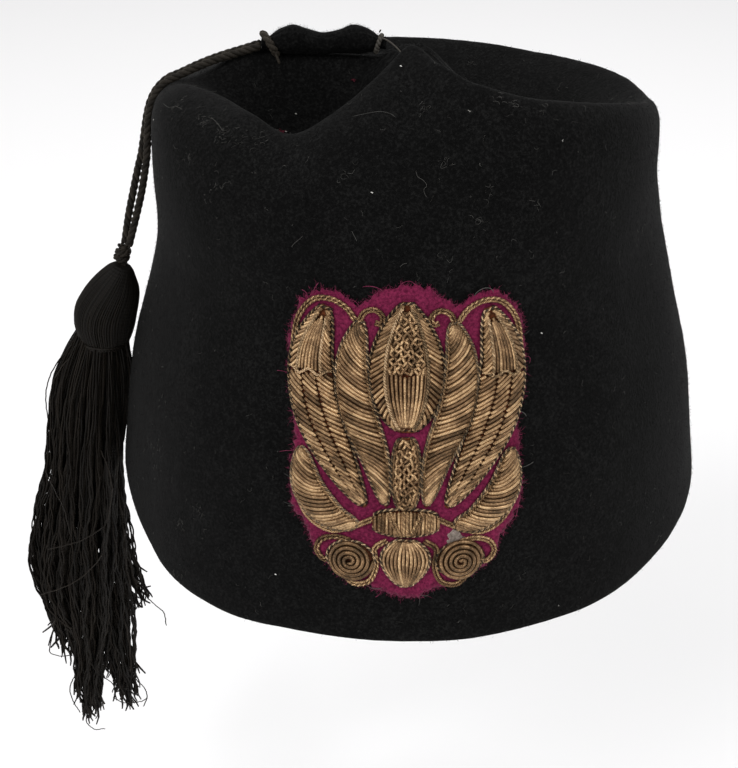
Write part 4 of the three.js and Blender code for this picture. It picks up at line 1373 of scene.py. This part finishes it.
# Single threads that cross the skirt or stand out of it: share of SKIRT_LENGTH, then mm outward and forward
STRAY_ROUTES = [
    [[0.0, 9.5, 4], [0.04, 14, 5], [0.09, 16.5, 4], [0.15, 16.8, 2], [0.2, 15, 1]],
    [[0.02, 9, 3], [0.06, 13, 4], [0.1, 15, 3], [0.16, 15, 2]],
    [[0.47, 12, 12.5], [0.455, 5, 13.5], [0.43, -2, 13.8], [0.41, -7, 12]],
    [[0.6, 16, 11], [0.575, 9, 13], [0.55, 3, 13.6], [0.51, -3, 13.5], [0.48, -6, 13]],
    [[0.28, 14, 9], [0.33, 9, 12.5], [0.37, 6, 13.5], [0.43, 4, 13.8]],
    [[0.22, -4, 12], [0.27, -7, 12], [0.33, -8.5, 11], [0.4, -8, 11]],
    [[0.66, -16, -4], [0.69, -19, -4], [0.705, -21.5, -3], [0.72, -23.5, -3], [0.76, -24, -3]],
    [[0.69, 13, 3], [0.76, 16.5, 3], [0.8, 17.5, 3], [0.81, 14, 3], [0.805, 10, 3], [0.78, 9, 3]],
    [[0.86, 9, 4], [0.9, 12, 4], [0.94, 11.5, 4], [0.98, 9.5, 4]],
    [[0.97, 7, 4], [1.01, 8.5, 4], [1.035, 5.5, 4], [1.035, 1.5, 4]],
    [[0.88, -12, 3], [0.91, -14.5, 3], [0.94, -15, 3], [0.965, -13, 3]],
    [[0.93, -3, 4], [0.95, -7, 4], [0.945, -12, 4], [0.935, -16, 4]],
    [[0.8, 2, 9], [0.84, -2, 9], [0.87, -5, 8], [0.9, -4, 7]],
]
STRAY_RADIUS = 0.2


def stray_piece():
    threads = Threads()
    for corners in STRAY_ROUTES:
        corners = np.array(corners)
        route = axis_at(HEAD_TOP - HEAD_LENGTH - corners[:, 0] * SKIRT_LENGTH)
        route[:, :2] -= corners[:, 1:]
        path = even(catmull(route), 40)
        path = path + np.cumsum(rng.normal(0, 0.06, path.shape), axis=0)
        threads.add(path, STRAY_RADIUS, sides=4)
    return place(threads.mesh("tassel_strays", tassel_thread), "thread")


stray_piece()


def knot_piece():
    """The cords' ends wound into a small knot on the tassel's head."""
    threads = Threads()
    wind = np.linspace(0, 1, 150)
    z = HEAD_TOP + SEAM + KNOT_LENGTH * (0.92 - 0.84 * wind)
    winding, _ = round_axis(z, 1.35 + 0.25 * np.sin(math.pi * wind), math.tau * KNOT_TURNS * wind)
    threads.add(twist(winding, (0, 0, 1), 3, 0.5, 4.2), 0.56, ref=(0, 0, 1), sides=6)
    threads.add(axis_at(np.linspace(HEAD_TOP + SEAM + KNOT_LENGTH, HEAD_TOP + SEAM, 12)), 1.1, sides=8)
    return place(threads.mesh("tassel_knot_wound", cord_thread), "thread", "tassel_knot")


knot_piece()


FLOOR_HEIGHT = -190
FLOOR_HALF = 6000
floor_corners = ((-1, -1), (1, -1), (1, 1), (-1, 1))
floor_points = np.array([[x * FLOOR_HALF, y * FLOOR_HALF, FLOOR_HEIGHT] for x, y in floor_corners], float)
pale = new_material("pale_floor", (0.86, 0.855, 0.86), 0.9, Specular_IOR_Level=0.1)[0]
floor = mesh_object("floor", floor_points, np.arange(4), np.array([4]), pale)


# Round lamps, in metres and watts: place, target, size and power
LAMPS = {
    "key": ((-0.9, -1.1, 1.3), (0, 0, 0.06), 0.9, 16),
    "fill": ((1.1, -0.9, 0.9), (0, 0, 0.05), 0.8, 7),
    "top": ((0.1, 0.7, 1.5), (0, 0, 0.1), 0.8, 8),
}
for lamp_name, (lamp_place, lamp_target, lamp_size, lamp_power) in LAMPS.items():
    lamp = bpy.data.lights.new(lamp_name, "AREA")
    lamp.shape = "DISK"
    lamp.size = lamp_size
    lamp.energy = lamp_power
    aim(linked(lamp_name, lamp), lamp_place, Vector(lamp_target) - Vector(lamp_place))

world = bpy.data.worlds.new("studio")
world.use_nodes = True
background = world.node_tree.nodes["Background"]
background.inputs["Color"].default_value = (1, 1, 1, 1)
background.inputs["Strength"].default_value = 0.75
bpy.context.scene.world = world
bpy.context.scene.view_settings.view_transform = "Standard"
